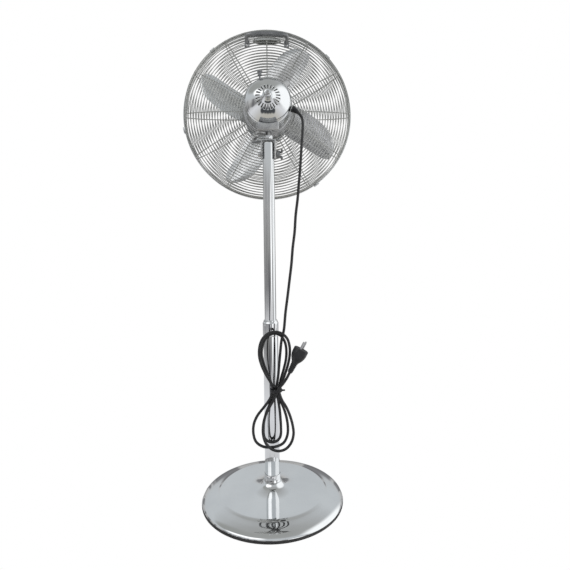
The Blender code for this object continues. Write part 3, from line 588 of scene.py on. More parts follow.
def make_plug():
    """A moulded two-pin plug: a round face, two grip flats, a cone and a ribbed strain relief."""
    across = Vector((-PLUG_AXIS.z, 0.0, PLUG_AXIS.x))
    turn = Matrix((across, PLUG_AXIS.cross(across), PLUG_AXIS)).transposed()
    bm = bmesh.new()
    relief = [(0.0, 0.0), (0.0046, 0.0), (0.0052, 0.0012)]
    for rib in range(6):
        low = 0.002 + rib * 0.004
        relief += [(0.0054 + 0.0002 * rib, low), (0.0054 + 0.0002 * rib, low + 0.001)]
        relief += [(0.0062 + 0.0003 * rib, low + 0.0016), (0.0064 + 0.0003 * rib, low + 0.0032)]
    face = PLUG_LONG
    body = relief + [(0.0084, 0.0275), (0.0106, 0.0305), (0.0146, 0.0375), (0.0168, 0.044), (0.0175, 0.049)]
    body += [(0.0175, face - 0.0012), (0.0166, face), (0.015, face)]
    body += [(0.0146, face - 0.001), (0.0, face - 0.001)]

    def grip(radius, height, angle):
        """Two flats on the round part, with shallow ribs for the fingers."""
        if height < 0.03 or radius < 0.01:
            return radius
        flat = 0.015 / max(abs(math.sin(angle)), 0.2)
        rib = 0.0005 * math.sin(height * 2400.0) if height < 0.058 else 0.0
        return min(radius, flat + rib)

    add_turned(bm, body, steps=72, closed=False, shape=grip)
    shell = piece("plug_moulding", bm, PLASTIC)
    shell.data.transform(Matrix.Translation(PLUG_ROOT) @ turn.to_4x4())
    keep(shell, "plug_body")
    pins = bmesh.new()
    apart = across * math.cos(PIN_TURN) + PLUG_AXIS.cross(across) * math.sin(PIN_TURN)
    for side in (-1, 1):
        root = PLUG_ROOT + apart * side * 0.0095
        pin = [(0.0, 0.019), *arc(0.001, 0.0178, 0.0012, 90, 0, 5), (0.0024, 0.016), (0.0024, 0.0)]
        pin = [(r, h + PLUG_LONG) for r, h in pin] + [(0.0, PLUG_LONG)]
        add_turned(pins, pin, origin=root, axis=PLUG_AXIS, steps=24, closed=False)
    prongs = keep(piece("plug_prongs", pins, STEEL), "plug_pin_1", "plug_pin_2")
    return shell, prongs


def make_tie():
    """A wrapped tie: three turns of flat strap round the bundle, and the twisted ends on its side."""
    bm = bmesh.new()
    centre = Vector((-0.0111, 0.0311, TIE_Z))
    turns = []
    for step in range(3 * 40):
        angle = 2 * math.pi * step / 40
        along = abs(math.cos(angle)) ** 0.75 * math.copysign(1, math.cos(angle))
        over = abs(math.sin(angle)) ** 0.75 * math.copysign(1, math.sin(angle))
        rise = (step / 120 - 0.5) * 0.006
        turns.append(centre + Vector((0.0128 * along, 0.0116 * over, rise)))
    add_tube(bm, turns, 0.0013, 8)
    knot = centre + Vector((-0.014, 0.002, 0.0))
    for sign in (-1, 1):
        ends = [knot + Vector((0.0012, 0.0, 0.0)), knot + Vector((-0.001, 0.0006 * sign, 0.0012 * sign)),
                knot + Vector((-0.0035, 0.001 * sign, 0.001 * sign)),
                knot + Vector((-0.006, -0.001 * sign, -0.0014 * sign))]
        add_tube(bm, smooth_line(ends, 0.0008), 0.0013, 8)
    return keep(piece("hank_tie", bm, PLASTIC), "cord_tie")


# ---------------------------------------------------------------- base and column
def make_base():
    ring = [(BASE_R - 0.0015, RUBBER_TOP), (BASE_R, RUBBER_TOP - 0.0015), (BASE_R, 0.001)]
    ring += [(BASE_R - 0.001, 0.0), (BASE_R - 0.013, 0.0), (BASE_R - 0.013, RUBBER_TOP)]
    foot = turned("rubber_foot_ring", rounded(ring, 0.0008), RUBBER, steps=160)
    keep(foot, "base_rubber_ring")
    edge_r = BASE_R - 0.0012
    low = RUBBER_TOP + 0.0003
    top = [(0.0152, SHELL_TOP), (0.02, SHELL_TOP - 0.0002), (0.0232, 0.044), (0.0262, 0.04), (0.034, 0.0348)]
    top += [(0.052, 0.0303), (0.076, 0.0283), (0.1, 0.0268), (0.12, 0.0256), (0.126, 0.0251)]
    top += [(0.129, 0.0242), (0.1315, 0.0228), (0.136, 0.0217), (0.147, 0.0192), (0.157, 0.0161)]
    top += [(0.1635, 0.013), (0.1677, 0.0098)]
    curve = [(p.x, p.y) for p in smooth_line([(r, h, 0.0) for r, h in top], 0.0022)]
    curve.append((edge_r, low))
    thick = 0.0013
    under = [(r - 0.0004, h - thick) for r, h in curve[4:-1:2]]
    under = [(curve[0][0], SHELL_TOP - thick), *under, (edge_r - thick, low)]
    shell = turned("base_cover", curve + under[::-1], CHROME, steps=192, sharp_deg=50.0)
    keep(shell, "base_shell")
    flange_z = SHELL_TOP + 0.0003
    r = OUTER_TUBE_R
    flange = [(r + 0.0003, flange_z + 0.016), (r + 0.0016, flange_z + 0.0156), (r + 0.002, flange_z + 0.006)]
    flange += [(r + 0.0026, flange_z + 0.003), (r + 0.0036, flange_z), (r + 0.0003, flange_z)]
    keep(turned("column_flange", rounded(flange, 0.0006), CHROME), "tube_flange")


def make_column():
    r = OUTER_TUBE_R
    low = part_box("outer_tube")[0].z
    tube = [(r, OUTER_TUBE_TOP), (r, low), (r - 0.0015, low), (r - 0.0015, OUTER_TUBE_TOP)]
    keep(turned("lower_tube", rounded(tube, 0.0004), CHROME), "outer_tube")
    r = INNER_TUBE_R
    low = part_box("inner_tube")[0].z
    tube = [(r - 0.001, POLE_TOP), (r, POLE_TOP - 0.0012), (r, low), (r - 0.0015, low)]
    tube.append((r - 0.0015, POLE_TOP))
    upper = turned("upper_tube", rounded(tube, 0.0005), CHROME)
    keep(drill(upper, BOLT_HOLE_R, -0.03, 0.03, (0.0, 0.0, TILT_Z), SIDE), "inner_tube")
    make_collar()
    cap = [(0.0, POLE_TOP + 0.001), (0.0075, POLE_TOP + 0.0008), (0.0105, POLE_TOP)]
    cap += [(0.0122, POLE_TOP - 0.0015), (0.0122, POLE_TOP - 0.01), (0.0, POLE_TOP - 0.01)]
    keep(turned_solid("pole_end_cap", cap, CHROME, 0.0006), "pole_insert")


def make_collar():
    """The twist-lock collar: a ring with a stepped top and shallow upright grips."""
    r = COLLAR_HIGH.x
    top, low = COLLAR_HIGH.z, COLLAR_LOW.z
    throat = INNER_TUBE_R + 0.0006
    bore = OUTER_TUBE_R + 0.0003
    shoulder = OUTER_TUBE_TOP + 0.0083
    collar = [(throat, top), (0.0163, top), (0.0168, top - 0.0012), (0.0168, top - 0.003)]
    collar += [(0.0174, top - 0.0042), (r - 0.0006, top - 0.0056), (r, top - 0.007), (r, low + 0.0012)]
    collar += [(r - 0.0006, low), (bore, low), (bore, shoulder), (throat, shoulder)]
    collar = rounded(collar, 0.0005)
    dense = []
    for (r1, h1), (r2, h2) in zip(collar, collar[1:] + collar[:1]):
        pieces = max(1, round(math.hypot(r2 - r1, h2 - h1) / 0.002))
        dense += [(r1 + (r2 - r1) * i / pieces, h1 + (h2 - h1) * i / pieces) for i in range(pieces)]

    def grips(radius, height, angle):
        if radius < r - 0.0008:
            return radius
        below_top = min(1.0, max(0.0, (top - 0.009 - height) / 0.002))
        above_foot = min(1.0, max(0.0, (height - low - 0.004) / 0.002))
        groove = max(0.0, math.cos(8 * angle)) ** 40
        return radius - 0.0006 * below_top * above_foot * groove

    keep(turned("twist_collar", dense, CHROME, steps=256, shape=grips), "lock_collar")


# ---------------------------------------------------------------- neck and oscillation
def make_neck():
    yoke_low, yoke_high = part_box("tilt_yoke")
    width = 2 * (INNER_TUBE_R + 0.0036)
    height = yoke_high.z - yoke_low.z
    bm = add_block(bmesh.new(), (width, 0.024, height), (0.0, 0.0, yoke_low.z + height / 2), 0.0016, 4)
    yoke = piece("tilt_fork", bm, STEEL)
    gap = 2 * (INNER_TUBE_R + 0.0006)
    middle = (0.0, 0.0, yoke_high.z - 0.0035 - height / 2)
    cut(yoke, piece("fork_slot", add_block(bmesh.new(), (gap, 0.05, height), middle, 0.0008, 2), STEEL))
    drill(yoke, BOLT_HOLE_R, -0.03, 0.03, (0.0, 0.0, TILT_Z), SIDE)
    keep(yoke, "tilt_yoke")
    arm = add_block(bmesh.new(), (0.03, 0.009, 0.003), (0.0255, -0.0125, yoke_high.z - 0.0018), 0.001, 3,
                    Matrix.Rotation(math.radians(-28), 3, "Z"))
    keep(piece("stud_bracket", arm, GREY), body="neck")
    low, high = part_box("neck_post")
    post = [(0.0, low.z), (0.0115, low.z), (0.0115, high.z), (0.0, high.z)]
    keep(turned_solid("swivel_post", post, CHROME, 0.0009), "neck_post")
    make_tilt_hardware()
    make_link()


def make_tilt_hardware():
    """The tilt bolt's hexagon head on one cheek, and the wing knob on its other end."""
    origin = (0.0, 0.0, TILT_Z)

    def hexagon(radius, height, angle):
        if radius < 0.0045:
            return radius
        wedge = (angle + math.pi / 6) % (math.pi / 3) - math.pi / 6
        return min(radius, 0.0053 / math.cos(wedge))

    head = [(0.0, 0.0255), (0.005, 0.0253), (0.006, 0.0243), (0.006, 0.02)]
    bolt = add_turned(bmesh.new(), head + [(0.0034, 0.02), (0.0034, -0.027), (0.0, -0.027)], origin=origin,
                      axis=SIDE, steps=96, closed=False, shape=hexagon)
    washer = [(0.0036, 0.0199), (0.0036, 0.0184), (0.0072, 0.0184), (0.0072, 0.0199)]
    add_turned(bolt, rounded(washer, 0.0003), origin=origin, axis=SIDE, steps=48)
    keep(piece("tilt_bolt_steel", bolt, STEEL), "tilt_bolt")

    def ribs(radius, height, angle):
        return radius - (0.0004 * (0.5 + 0.5 * math.cos(18 * angle)) if radius > 0.008 else 0.0)

    hub = [(0.0038, 0.029), (0.007, 0.029), (0.009, 0.0275), (0.009, 0.0184), (0.0038, 0.0184)]
    knob = add_turned(bmesh.new(), rounded(hub, 0.0006), origin=origin, axis=(-1.0, 0.0, 0.0), steps=144,
                      shape=ribs)
    lean = Matrix.Rotation(math.radians(35), 3, "X")
    for sign in (-1, 1):
        root = Vector((-0.03, sign * 0.006, 0.0))
        wing = [root, root + Vector((-0.002, sign * 0.004, 0.0))]
        wing.append(root + Vector((-0.0022, sign * 0.0085, 0.0)))
        line = [Vector(origin) + lean @ point for point in smooth_line(wing, 0.001)]
        add_tube(knob, line, lambda t: 0.0026 + 0.0006 * math.sin(math.pi * t), 14)
    keep(piece("wing_knob", knob, GREY), "tilt_knob")


def make_link():
    """The shouldered stud of the oscillation link, a pressed steel strip, and the crank that drives it."""
    stud_place = (0.0345, -0.0197, 0.0)
    pin = CRANK_AXIS + CRANK_AXIS.normalized() * 0.0108
    low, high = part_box("link_stud")
    shoulder = high.z - 0.0012
    stud = [(0.0, high.z), (0.0032, high.z), (0.0032, shoulder), (0.0019, shoulder), (0.0019, low.z)]
    stud.append((0.0, low.z))
    keep(turned_solid("link_pivot", stud, STEEL, 0.0003, origin=stud_place, steps=32), "link_stud")
    shaft_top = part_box("crank_disc")[1].z
    top = 0.8837
    disc = [(0.0, shaft_top), (0.0024, shaft_top), (0.0024, top), (0.0128, top), (0.0128, top - 0.0035)]
    disc.append((0.0, top - 0.0035))
    disc = rounded(disc, 0.0004, closed=False)
    bm = add_turned(bmesh.new(), disc, origin=CRANK_AXIS, steps=64, closed=False)
    peg = [(0.0, top - 0.0036), (0.0019, top - 0.0036), (0.0019, top - 0.006), (0.0, top - 0.0064)]
    add_turned(bm, peg, origin=(pin.x, pin.y, 0.0), steps=32, closed=False)
    keep(piece("crank_wheel", bm, STEEL), "crank_disc")


# ---------------------------------------------------------------- motor
def make_motor():
    front = MOTOR_FRONT_Y
    curve = [(p.x, p.y) for p in smooth_line([(r, y, 0.0) for r, y in CAP_CURVE], 0.0012)]
    seam = next(index for index, (r, _) in enumerate(curve) if r <= CAP_SEAM_R)
    side = [(MOTOR_R, front + 0.0004), (MOTOR_R, front + 0.0084), (MOTOR_R - 0.0005, front + 0.0089)]
    side += [(MOTOR_R - 0.0005, front + 0.0104), (MOTOR_R, front + 0.0109)]
    can = side + curve[:seam + 1]
    can += inset(can, SHEET)[::-1]
    housing = turned("motor_can", can, CHROME, origin=HEAD_AXIS, axis=BACK, steps=192)
    keep(housing, "motor_housing")
    make_cap(curve[seam:])
    low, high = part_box("gearbox_housing")
    size = high - low
    tall = 0.022
    middle = (0.0, (low.y + high.y) / 2, low.z + tall / 2)
    gearbox = piece("gearbox_block", add_block(bmesh.new(), (size.x, size.y, tall), middle, 0.0028, 5), STEEL)
    drill(gearbox, MOTOR_R + 0.0003, -0.08, 0.08, HEAD_AXIS, BACK, steps=128)
    drill(gearbox, 0.0063, 0.87, 0.897, steps=48)
    drill(gearbox, 0.0029, 0.87, 0.93, CRANK_AXIS)
    keep(gearbox, "gearbox_housing")
    plate_r, bore_r = 0.0615, 0.0072
    plate = [(plate_r, front - 0.0003), (plate_r, front - 0.003), (bore_r, front - 0.003)]
    plate.append((bore_r, front - 0.0003))
    plate = add_turned(bmesh.new(), rounded(plate, 0.0006), origin=HEAD_AXIS, axis=BACK, steps=128)
    for index in range(4):
        spot = head_point(0.05, 45 + 90 * index, front - 0.003)
        head = [(0.0, -0.0018), (0.002, -0.0016), (0.003, -0.0008), (0.0032, 0.0), (0.0, 0.0)]
        add_turned(plate, head, origin=spot, axis=BACK, steps=24, closed=False)
    keep(piece("front_plate", plate, STEEL), "motor_front_plate")
    make_controls()


def make_cap(curve):
    """The rounded cap with its ring of radial slots, the dark bracket behind them, and the screwed boss."""
    slots, across = 22, 6
    steps = slots * across
    slot_in, slot_out = 0.0186, 0.029
    outline = []
    for (r1, y1), (r2, y2) in zip(curve, curve[1:]):
        outline.append((r1, y1))
        for edge in (slot_out, slot_in):
            if r2 < edge < r1:
                outline.append((edge, y1 + (y2 - y1) * (r1 - edge) / (r1 - r2)))
    outline += [curve[-1], (0.0082, BOSS_TIP_Y - 0.0008), (0.0066, BOSS_TIP_Y), (0.0046, BOSS_TIP_Y)]
    outline.append((0.0024, BOSS_TIP_Y - 0.0003))
    outline[0] = (curve[0][0] - 0.0003, curve[0][1] + 0.0003)
    bm = add_turned(bmesh.new(), outline, origin=HEAD_AXIS, axis=BACK, steps=steps, closed=False)
    doomed = []
    for face in bm.faces:
        middle = face.calc_center_median() - Vector(HEAD_AXIS)
        radius = math.hypot(middle.x, middle.z)
        column = int(math.atan2(middle.z, middle.x) % (2 * math.pi) / (2 * math.pi) * steps) % across
        if slot_in < radius < slot_out and column in (2, 3):
            doomed.append(face)
    bmesh.ops.delete(bm, geom=doomed, context="FACES")
    cap = piece("slotted_cap", bm, CHROME)
    thick = cap.modifiers.new("sheet", "SOLIDIFY")
    thick.thickness = SHEET
    thick.offset = -1.0
    keep(cap, "rear_cover")
    bell = [(0.0075, 0.04), (0.015, 0.0385), (0.026, 0.033), (0.04, 0.024), (0.05, 0.013)]
    bell += [(0.05, 0.011), (0.038, 0.0215), (0.0075, 0.033)]
    bracket = turned("bearing_bracket", rounded(bell, 0.0006), IRON, origin=HEAD_AXIS, axis=BACK, steps=64)
    keep(bracket, body="head")
    foot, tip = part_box("cover_screw")[0].y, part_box("cover_screw")[1].y
    screw = [(0.0, tip - 0.001), (0.0014, tip - 0.001), (0.0018, tip - 0.0001), (0.0028, tip - 0.0003)]
    screw += [(0.004, tip - 0.0014), (0.0043, tip - 0.0036), (0.0021, tip - 0.0036), (0.0021, foot)]
    screw.append((0.0, foot))
    screw = turned_solid("boss_screw", screw, STEEL, 0.0003, origin=HEAD_AXIS, axis=BACK, steps=48)
    keep(screw, "cover_screw")


def make_controls():
    knurls = 24

    def knurled(radius, height, angle):
        return radius - (0.00035 * (0.5 + 0.5 * math.cos(knurls * angle)) if radius > 0.005 else 0.0)

    stem = [(0.0, 1.03), (0.005, 1.03), (0.0064, 1.029), (0.0064, 1.0262), (0.004, 1.0242)]
    stem += [(0.0038, 1.0215), (0.0055, 1.02), (0.0055, 1.0178), (0.0022, 1.0175), (0.0022, 0.99)]
    stem.append((0.0, 0.99))
    pull = turned_solid("oscillation_pull", stem, GREY, 0.0007, origin=CRANK_AXIS, steps=144, shape=knurled)
    keep(pull, "clutch_knob")
    out = (head_point(MOTOR_R, 50.0, 0.0) - Vector(HEAD_AXIS)).normalized()
    root = head_point(MOTOR_R, 50.0, -0.022)
    knob = [(0.0, 0.02), (0.0066, 0.02), (0.0084, 0.0188), (0.009, 0.008), (0.0095, 0.005), (0.0095, 0.001)]
    knob.append((0.0, 0.001))
    speed = add_turned(bmesh.new(), rounded(knob, 0.0008, closed=False), origin=root, axis=out, steps=144,
                       closed=False, shape=knurled)
    bar = root + out * 0.02
    add_block(speed, (0.0022, 0.012, 0.001), bar + out * 0.0001, 0.0004, 2,
              out.to_track_quat("Z", "Y").to_matrix())
    keep(piece("speed_dial", speed, STEEL), "speed_knob")
    gland = [(0.0, GLAND_LONG), (CORD_D / 2 + 0.0003, GLAND_LONG), (CORD_D / 2 + 0.001, GLAND_LONG - 0.001)]
    for rib in range(3):
        top = GLAND_LONG - 0.0014 - rib * 0.0036
        grow = 0.0008 * rib
        gland += [(0.0046 + grow, top), (0.0048 + grow, top - 0.0018), (0.004 + grow, top - 0.0024)]
        gland += [(0.004 + grow, top - 0.0034)]
    gland += [(0.0076, 0.0074), (0.0078, 0.0068), (0.0078, 0.0032), (0.0074, 0.003), (0.0, 0.003)]
    relief = turned_solid("strain_relief", gland, PLASTIC, 0.0003, origin=GLAND_ROOT, axis=GLAND_AXIS,
                          steps=64)
    side = GLAND_AXIS.cross(GLAND_DROP)
    for vert in relief.data.vertices:
        off = vert.co - GLAND_ROOT
        point, way = along_gland(off.dot(GLAND_AXIS))
        vert.co = point + side * off.dot(side) + side.cross(way) * off.dot(GLAND_DROP)
    keep(relief, "cord_gland")


# ---------------------------------------------------------------- guards
def guard_curve(t):
    """(radius, depth from the rim plane) at t, from 0 at the rim to 1 at the eye."""
    side = 0.16
    if t < side:
        s = t / side
        return GUARD_SIDE_R + 0.0012 * (1 - s), 0.0018 + 0.0174 * s
    s = (t - side) / (1 - side)
    radius = GUARD_SIDE_R + (GUARD_EYE_R - GUARD_SIDE_R) * s
    depth = 0.0192 + (GUARD_DEPTH - 0.0192) * (1 - (1 - s) ** 3.2)
    return radius, depth


def along_guard(count):
    """This many points evenly along the guard's curve, from the rim to the eye."""
    fine = [guard_curve(t) for t in np.linspace(0.0, 1.0, 400)]
    steps = [math.hypot(b[0] - a[0], b[1] - a[1]) for a, b in zip(fine, fine[1:])]
    run = np.concatenate([[0.0], np.cumsum(steps)])
    at = np.linspace(0.0, run[-1], count)
    radii = np.interp(at, run, [radius for radius, _ in fine])
    depths = np.interp(at, run, [depth for _, depth in fine])
    return list(zip(radii, depths))


def make_guard(name, node, side):
    """A wire guard: ring wires 7 mm apart over twelve spokes, with a thicker ring at the rim and the eye."""
    bm = bmesh.new()
    rows = along_guard(GUARD_RINGS)
    for index, (radius, depth) in enumerate(rows):
        ends = index in (0, GUARD_RINGS - 1)
        add_ring(bm, radius, RIM_Y + side * depth, SPOKE_WIRE_R if ends else RING_WIRE_R, 144, 8)
    inward = RING_WIRE_R + SPOKE_WIRE_R * 0.8
    for spoke in range(SPOKES):
        angle = 2 * math.pi * spoke / SPOKES
        line = []
        for radius, depth in along_guard(60)[1:]:
            x, z = radius * math.cos(angle), HEAD_Z + radius * math.sin(angle)
            line.append((x, RIM_Y + side * (depth - inward), z))
        add_tube(bm, line, SPOKE_WIRE_R, 8)
    keep(piece(name, bm, WIRE, 60.0), node)


def make_guards():
    make_guard("rear_wire_guard", "rear_guard", 1)
    make_guard("front_wire_guard", "front_guard", -1)
    inner = GUARD_SIDE_R + 0.0028
    band = [(RIM_R, 0.0032), (RIM_R, -0.0032), (inner, -0.0032), (inner, 0.0032)]
    centre = (0.0, RIM_Y, HEAD_Z)
    rim = turned("rim_clamp_band", rounded(band, 0.001, cuts=5), CHROME, origin=centre, axis=BACK, steps=240)
    keep(rim, "rim_band")
    for index, angle in enumerate((44.0, 130.0, 190.0, 305.0)):
        make_clip(index + 1, angle)
    face = RIM_Y - GUARD_DEPTH
    badge = [(0.0, face - 0.0063), (0.03, face - 0.0053), (0.053, face - 0.0028), (0.0588, face - 0.0002)]
    badge += [(0.059, face + 0.003), (0.0605, face + 0.003), (0.0605, face - 0.0008), (0.054, face - 0.004)]
    badge += [(0.047, face - 0.005), (0.044, face - 0.0046), (0.03, face - 0.0065), (0.0, face - 0.0075)]
    disc = turned_solid("blank_front_disc", badge, CHROME, 0.0008, origin=HEAD_AXIS, axis=BACK, steps=160)
    keep(disc, "front_badge_disc")
    make_handle()
    make_blank_plate()


def make_clip(number, angle):
    """A sprung clip folded over the rim, with a rolled lip at both edges."""
    out = (head_point(1.0, angle, 0.0) - Vector(HEAD_AXIS)).normalized()
    along = Vector(BACK).cross(out)
    turn = Matrix((out, along, Vector(BACK))).transposed()
    bm = bmesh.new()
    centre = head_point(RIM_R + 0.0018, angle, RIM_Y)
    add_block(bm, (0.0022, 0.014, 0.012), centre, 0.0007, 3, turn)
    for side in (-1, 1):
        lip = centre + Vector(BACK) * side * 0.006
        line = [lip - along * 0.007, lip, lip + along * 0.007]
        add_tube(bm, smooth_line(line, 0.002), 0.0011, 10)
        cheek = centre + Vector(BACK) * side * 0.0062 - out * 0.002
        add_block(bm, (0.005, 0.01, 0.0008), cheek, 0.0003, 2, turn)
    keep(piece(f"sprung_clip_{number}", bm, CHROME), f"rim_clip_{number}")


def make_handle():
    """A carrying handle: an arched grip on two legs with screwed feet."""
    foot_x, foot_z = 0.05, 1.126
    route = [(0.05, -0.064, 1.129), (0.0505, -0.06, 1.1325), (0.051, -0.0545, 1.137)]
    route += [(0.0495, -0.05, 1.1402), (0.045, -0.0485, 1.1417), (0.024, -0.048, 1.144), (0.0, -0.048, 1.145)]
    route += [(-x, y, z) for x, y, z in route[-2::-1]]

    def thickness(t):
        middle = max(0.0, 1.0 - abs(t - 0.5) / 0.36)
        return 0.0042 + 0.002 * min(1.0, 4.0 * middle)

    bm = add_tube(bmesh.new(), smooth_line(route, 0.0015), thickness, 20)
    for side in (-1, 1):
        add_block(bm, (0.0125, 0.003, 0.0165), (side * foot_x, -0.0646, foot_z), 0.0011, 4)
    keep(piece("arched_handle", bm, GREY), "carry_handle")
    for index, side in enumerate((-1, 1)):
        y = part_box("handle_screw_1")[0].y
        head = [(0.0, y + 0.0022), (0.001, y + 0.0022), (0.0014, y + 0.0029), (0.0024, y + 0.0027)]
        head += [(0.0034, y + 0.0018), (0.0038, y), (0.0, y)]
        place = (side * foot_x, 0.0, foot_z - 0.004)
        number = index + 1
        screw = turned(f"foot_screw_{number}", head, STEEL, origin=place, axis=BACK, steps=40, closed=False)
        keep(screw, f"handle_screw_{number}")


def make_blank_plate():
    """A plain oval plate of thin sheet with a raised rim, just inside the rear guard under the handle."""
    centre = Vector((0.0, -0.0735, 1.139))
    half_width, half_height = 0.0365, 0.0112
    profile = [(0.8, -0.0006), (1.0, -0.0006), (1.0, 0.001), (0.95, 0.0014), (0.88, 0.001), (0.84, 0.0)]
    profile.append((0.0, 0.0))
    bm = bmesh.new()
    rings = []
    for share, y in profile:
        ring = []
        for step in range(96):
            angle = 2 * math.pi * step / 96
            offset = (half_width * share * math.cos(angle), y, half_height * share * math.sin(angle))
            ring.append(bm.verts.new(centre + Vector(offset)))
        rings.append(ring)
    for first, second in zip(rings, rings[1:]):
        for step in range(96):
            after = (step + 1) % 96
            bm.faces.new((first[step], first[after], second[after], second[step]))
    bm.faces.new(rings[0])
    bmesh.ops.remove_doubles(bm, verts=bm.verts, dist=1e-6)
    keep(piece("oval_blank_plate", bm, WIRE), body="head")


# ---------------------------------------------------------------- blades
BLADE_TIP_R = 0.198
BLADE_ROOT_R = 0.0308
BLADE_Y = -0.102
BLADE_CREASE_DEG = 57.0
BLADE_PITCH_DEG = 26.0


def blade_width(radius):
    """How wide the blade's main sheet is at this radius, from its crease to its curved edge."""
    s = (radius - BLADE_ROOT_R) / (BLADE_TIP_R - BLADE_ROOT_R)
    swell = 0.03 + 0.028 * math.sin(math.pi * min(1.0, 0.12 + 0.8 * s)) ** 0.8
    tip = math.sqrt(max(0.0, 1.0 - max(0.0, (s - 0.72) / 0.3) ** 2.6))
    return swell * tip


def blade_point(across, s):
    """across runs from -1 at the flange's edge, 0 at the crease, to 1 at the curved edge."""
    radius = BLADE_ROOT_R + (BLADE_TIP_R - BLADE_ROOT_R) * s
    flange = 0.0145 * (0.45 + 0.55 * min(1.0, s * 4)) * (1.0 - 0.55 * max(0.0, s - 0.88) / 0.12)
    offset = across * (flange if across < 0 else blade_width(radius))
    pitch = math.radians(BLADE_PITCH_DEG) * (1.25 - 0.45 * s)
    bend = math.radians(14.0) if across < 0 else 0.0
    arch = 0.0035 * math.sin(math.pi * max(0.0, across))
    axial = (offset - 0.016) * math.tan(pitch) + abs(min(0.0, offset)) * math.tan(bend) + arch
    return offset, axial, radius


def make_blades():
    grid = bmesh.new()
    flange_cuts = [-1.0, -0.93, -0.7, -0.45, -0.2, -0.08, 0.0, 0.03]
    sheet_cuts = [0.08, 0.15, 0.25, 0.35, 0.45, 0.55, 0.65, 0.75, 0.84, 0.91, 0.96, 0.985, 1.0]
    rows = []
    for s in np.linspace(0.0, 1.0, 56):
        row = []
        for across in flange_cuts + sheet_cuts:
            offset, axial, radius = blade_point(across, s)
            row.append(grid.verts.new((offset, axial, math.sqrt(max(radius ** 2 - offset ** 2, 1e-6)))))
        rows.append(row)
    for first, second in zip(rows, rows[1:]):
        for index in range(len(first) - 1):
            grid.faces.new((first[index], first[index + 1], second[index + 1], second[index]))
    blade = piece("blade_sheet", grid, ALUMINIUM, 30.0)
    mesh = blade.data
    bpy.data.objects.remove(blade)
    for index in range(4):
        obj = bpy.data.objects.new(f"fan_blade_{index + 1}", mesh)
        bpy.context.scene.collection.objects.link(obj)
        obj.location = (0.0, BLADE_Y, HEAD_Z)
        turn = math.radians(BLADE_CREASE_DEG + index * 90.0)
        obj.rotation_euler = (0.0, turn - math.pi / 2, 0.0)
        thick = obj.modifiers.new("sheet", "SOLIDIFY")
        thick.thickness = SHEET
        thick.offset = 0.0
        edge = obj.modifiers.new("edge", "BEVEL")
        edge.width = 0.0003
        edge.segments = 2
        edge.limit_method = "ANGLE"
        edge.angle_limit = math.radians(60.0)
        keep(obj, f"blade_{index + 1}")
    make_hub()


def make_hub():
    y = BLADE_Y - 0.012
    hub = [(0.027, y + 0.022), (0.029, y + 0.02), (0.029, y + 0.004), (0.027, y + 0.002)]
    hub += [(0.012, y + 0.002), (0.011, y + 0.004), (0.0043, y + 0.004), (0.0043, y + 0.022)]
    bm = add_turned(bmesh.new(), rounded(hub, 0.001), origin=HEAD_AXIS, axis=BACK, steps=96)
    for index in range(8):
        spot = head_point(0.0215, 22.5 + 45 * index, y + 0.002)
        rivet = [(0.0, -0.0012), (0.0012, -0.001), (0.002, -0.0004), (0.0022, 0.0), (0.0, 0.0)]
        add_turned(bm, rivet, origin=spot, axis=BACK, steps=20, closed=False)
    keep(piece("blade_boss", bm, ALUMINIUM), "blade_hub")
    nut = [(0.0045, -0.1128), (0.015, -0.1128), (0.015, -0.1165), (0.0135, -0.1195), (0.011, -0.123)]
    nut += [(0.006, -0.1275), (0.0, -0.129), (0.0, -0.1254), (0.0045, -0.1254)]

    def fluted(radius, height, angle):
        return radius - (0.0005 * (0.5 + 0.5 * math.cos(12 * angle)) if radius > 0.01 else 0.0)

    nut = rounded(nut, 0.0005)
    spinner = turned("spinner", nut, CHROME, origin=HEAD_AXIS, axis=BACK, steps=120, shape=fluted)
    keep(spinner, "spinner_nut")


# ---------------------------------------------------------------- parts that stay as they are
def finish_frame():
    """Gives every node that still shows its own finish."""
    finishes = {
        STEEL: ("base_bolt", "pivot_pin", "link_arm", "rotor_core", "motor_shaft", "front_bearing",
                "rear_bearing", "worm_gear"),
        IRON: ("base_weight", "tube_foot", "stator_core"),
        COPPER: ("stator_coil_front",),
        NYLON: ("tube_bush", "drive_gear"),
    }
    for finish, names in finishes.items():
        for name in names:
            obj = frame["nodes"][name]
            obj.data.materials.clear()
            obj.data.materials.append(finish)
            obj.data.shade_smooth()
            obj.data.set_sharp_from_angle(angle=math.radians(35.0))


# ---------------------------------------------------------------- light
def make_light():
    """Soft lamps that shade the black parts. The chrome mirrors the room alone, so they stay out of it."""
    for name, place, size, power in (
        ("window_side", (-1.7, 1.6, 1.9), 1.6, 9.0),
        ("wall_side", (2.0, 1.4, 1.6), 1.6, 4.0),
    ):
        data = bpy.data.lights.new(name, "AREA")
        data.shape = "DISK"
        data.size = size
        data.energy = power
        lamp = bpy.data.objects.new(name, data)
        bpy.context.scene.collection.objects.link(lamp)
        lamp.location = place
        lamp.rotation_euler = (Vector((0.0, 0.0, 0.6)) - Vector(place)).to_track_quat("-Z", "Y").to_euler()
        lamp.visible_glossy = False


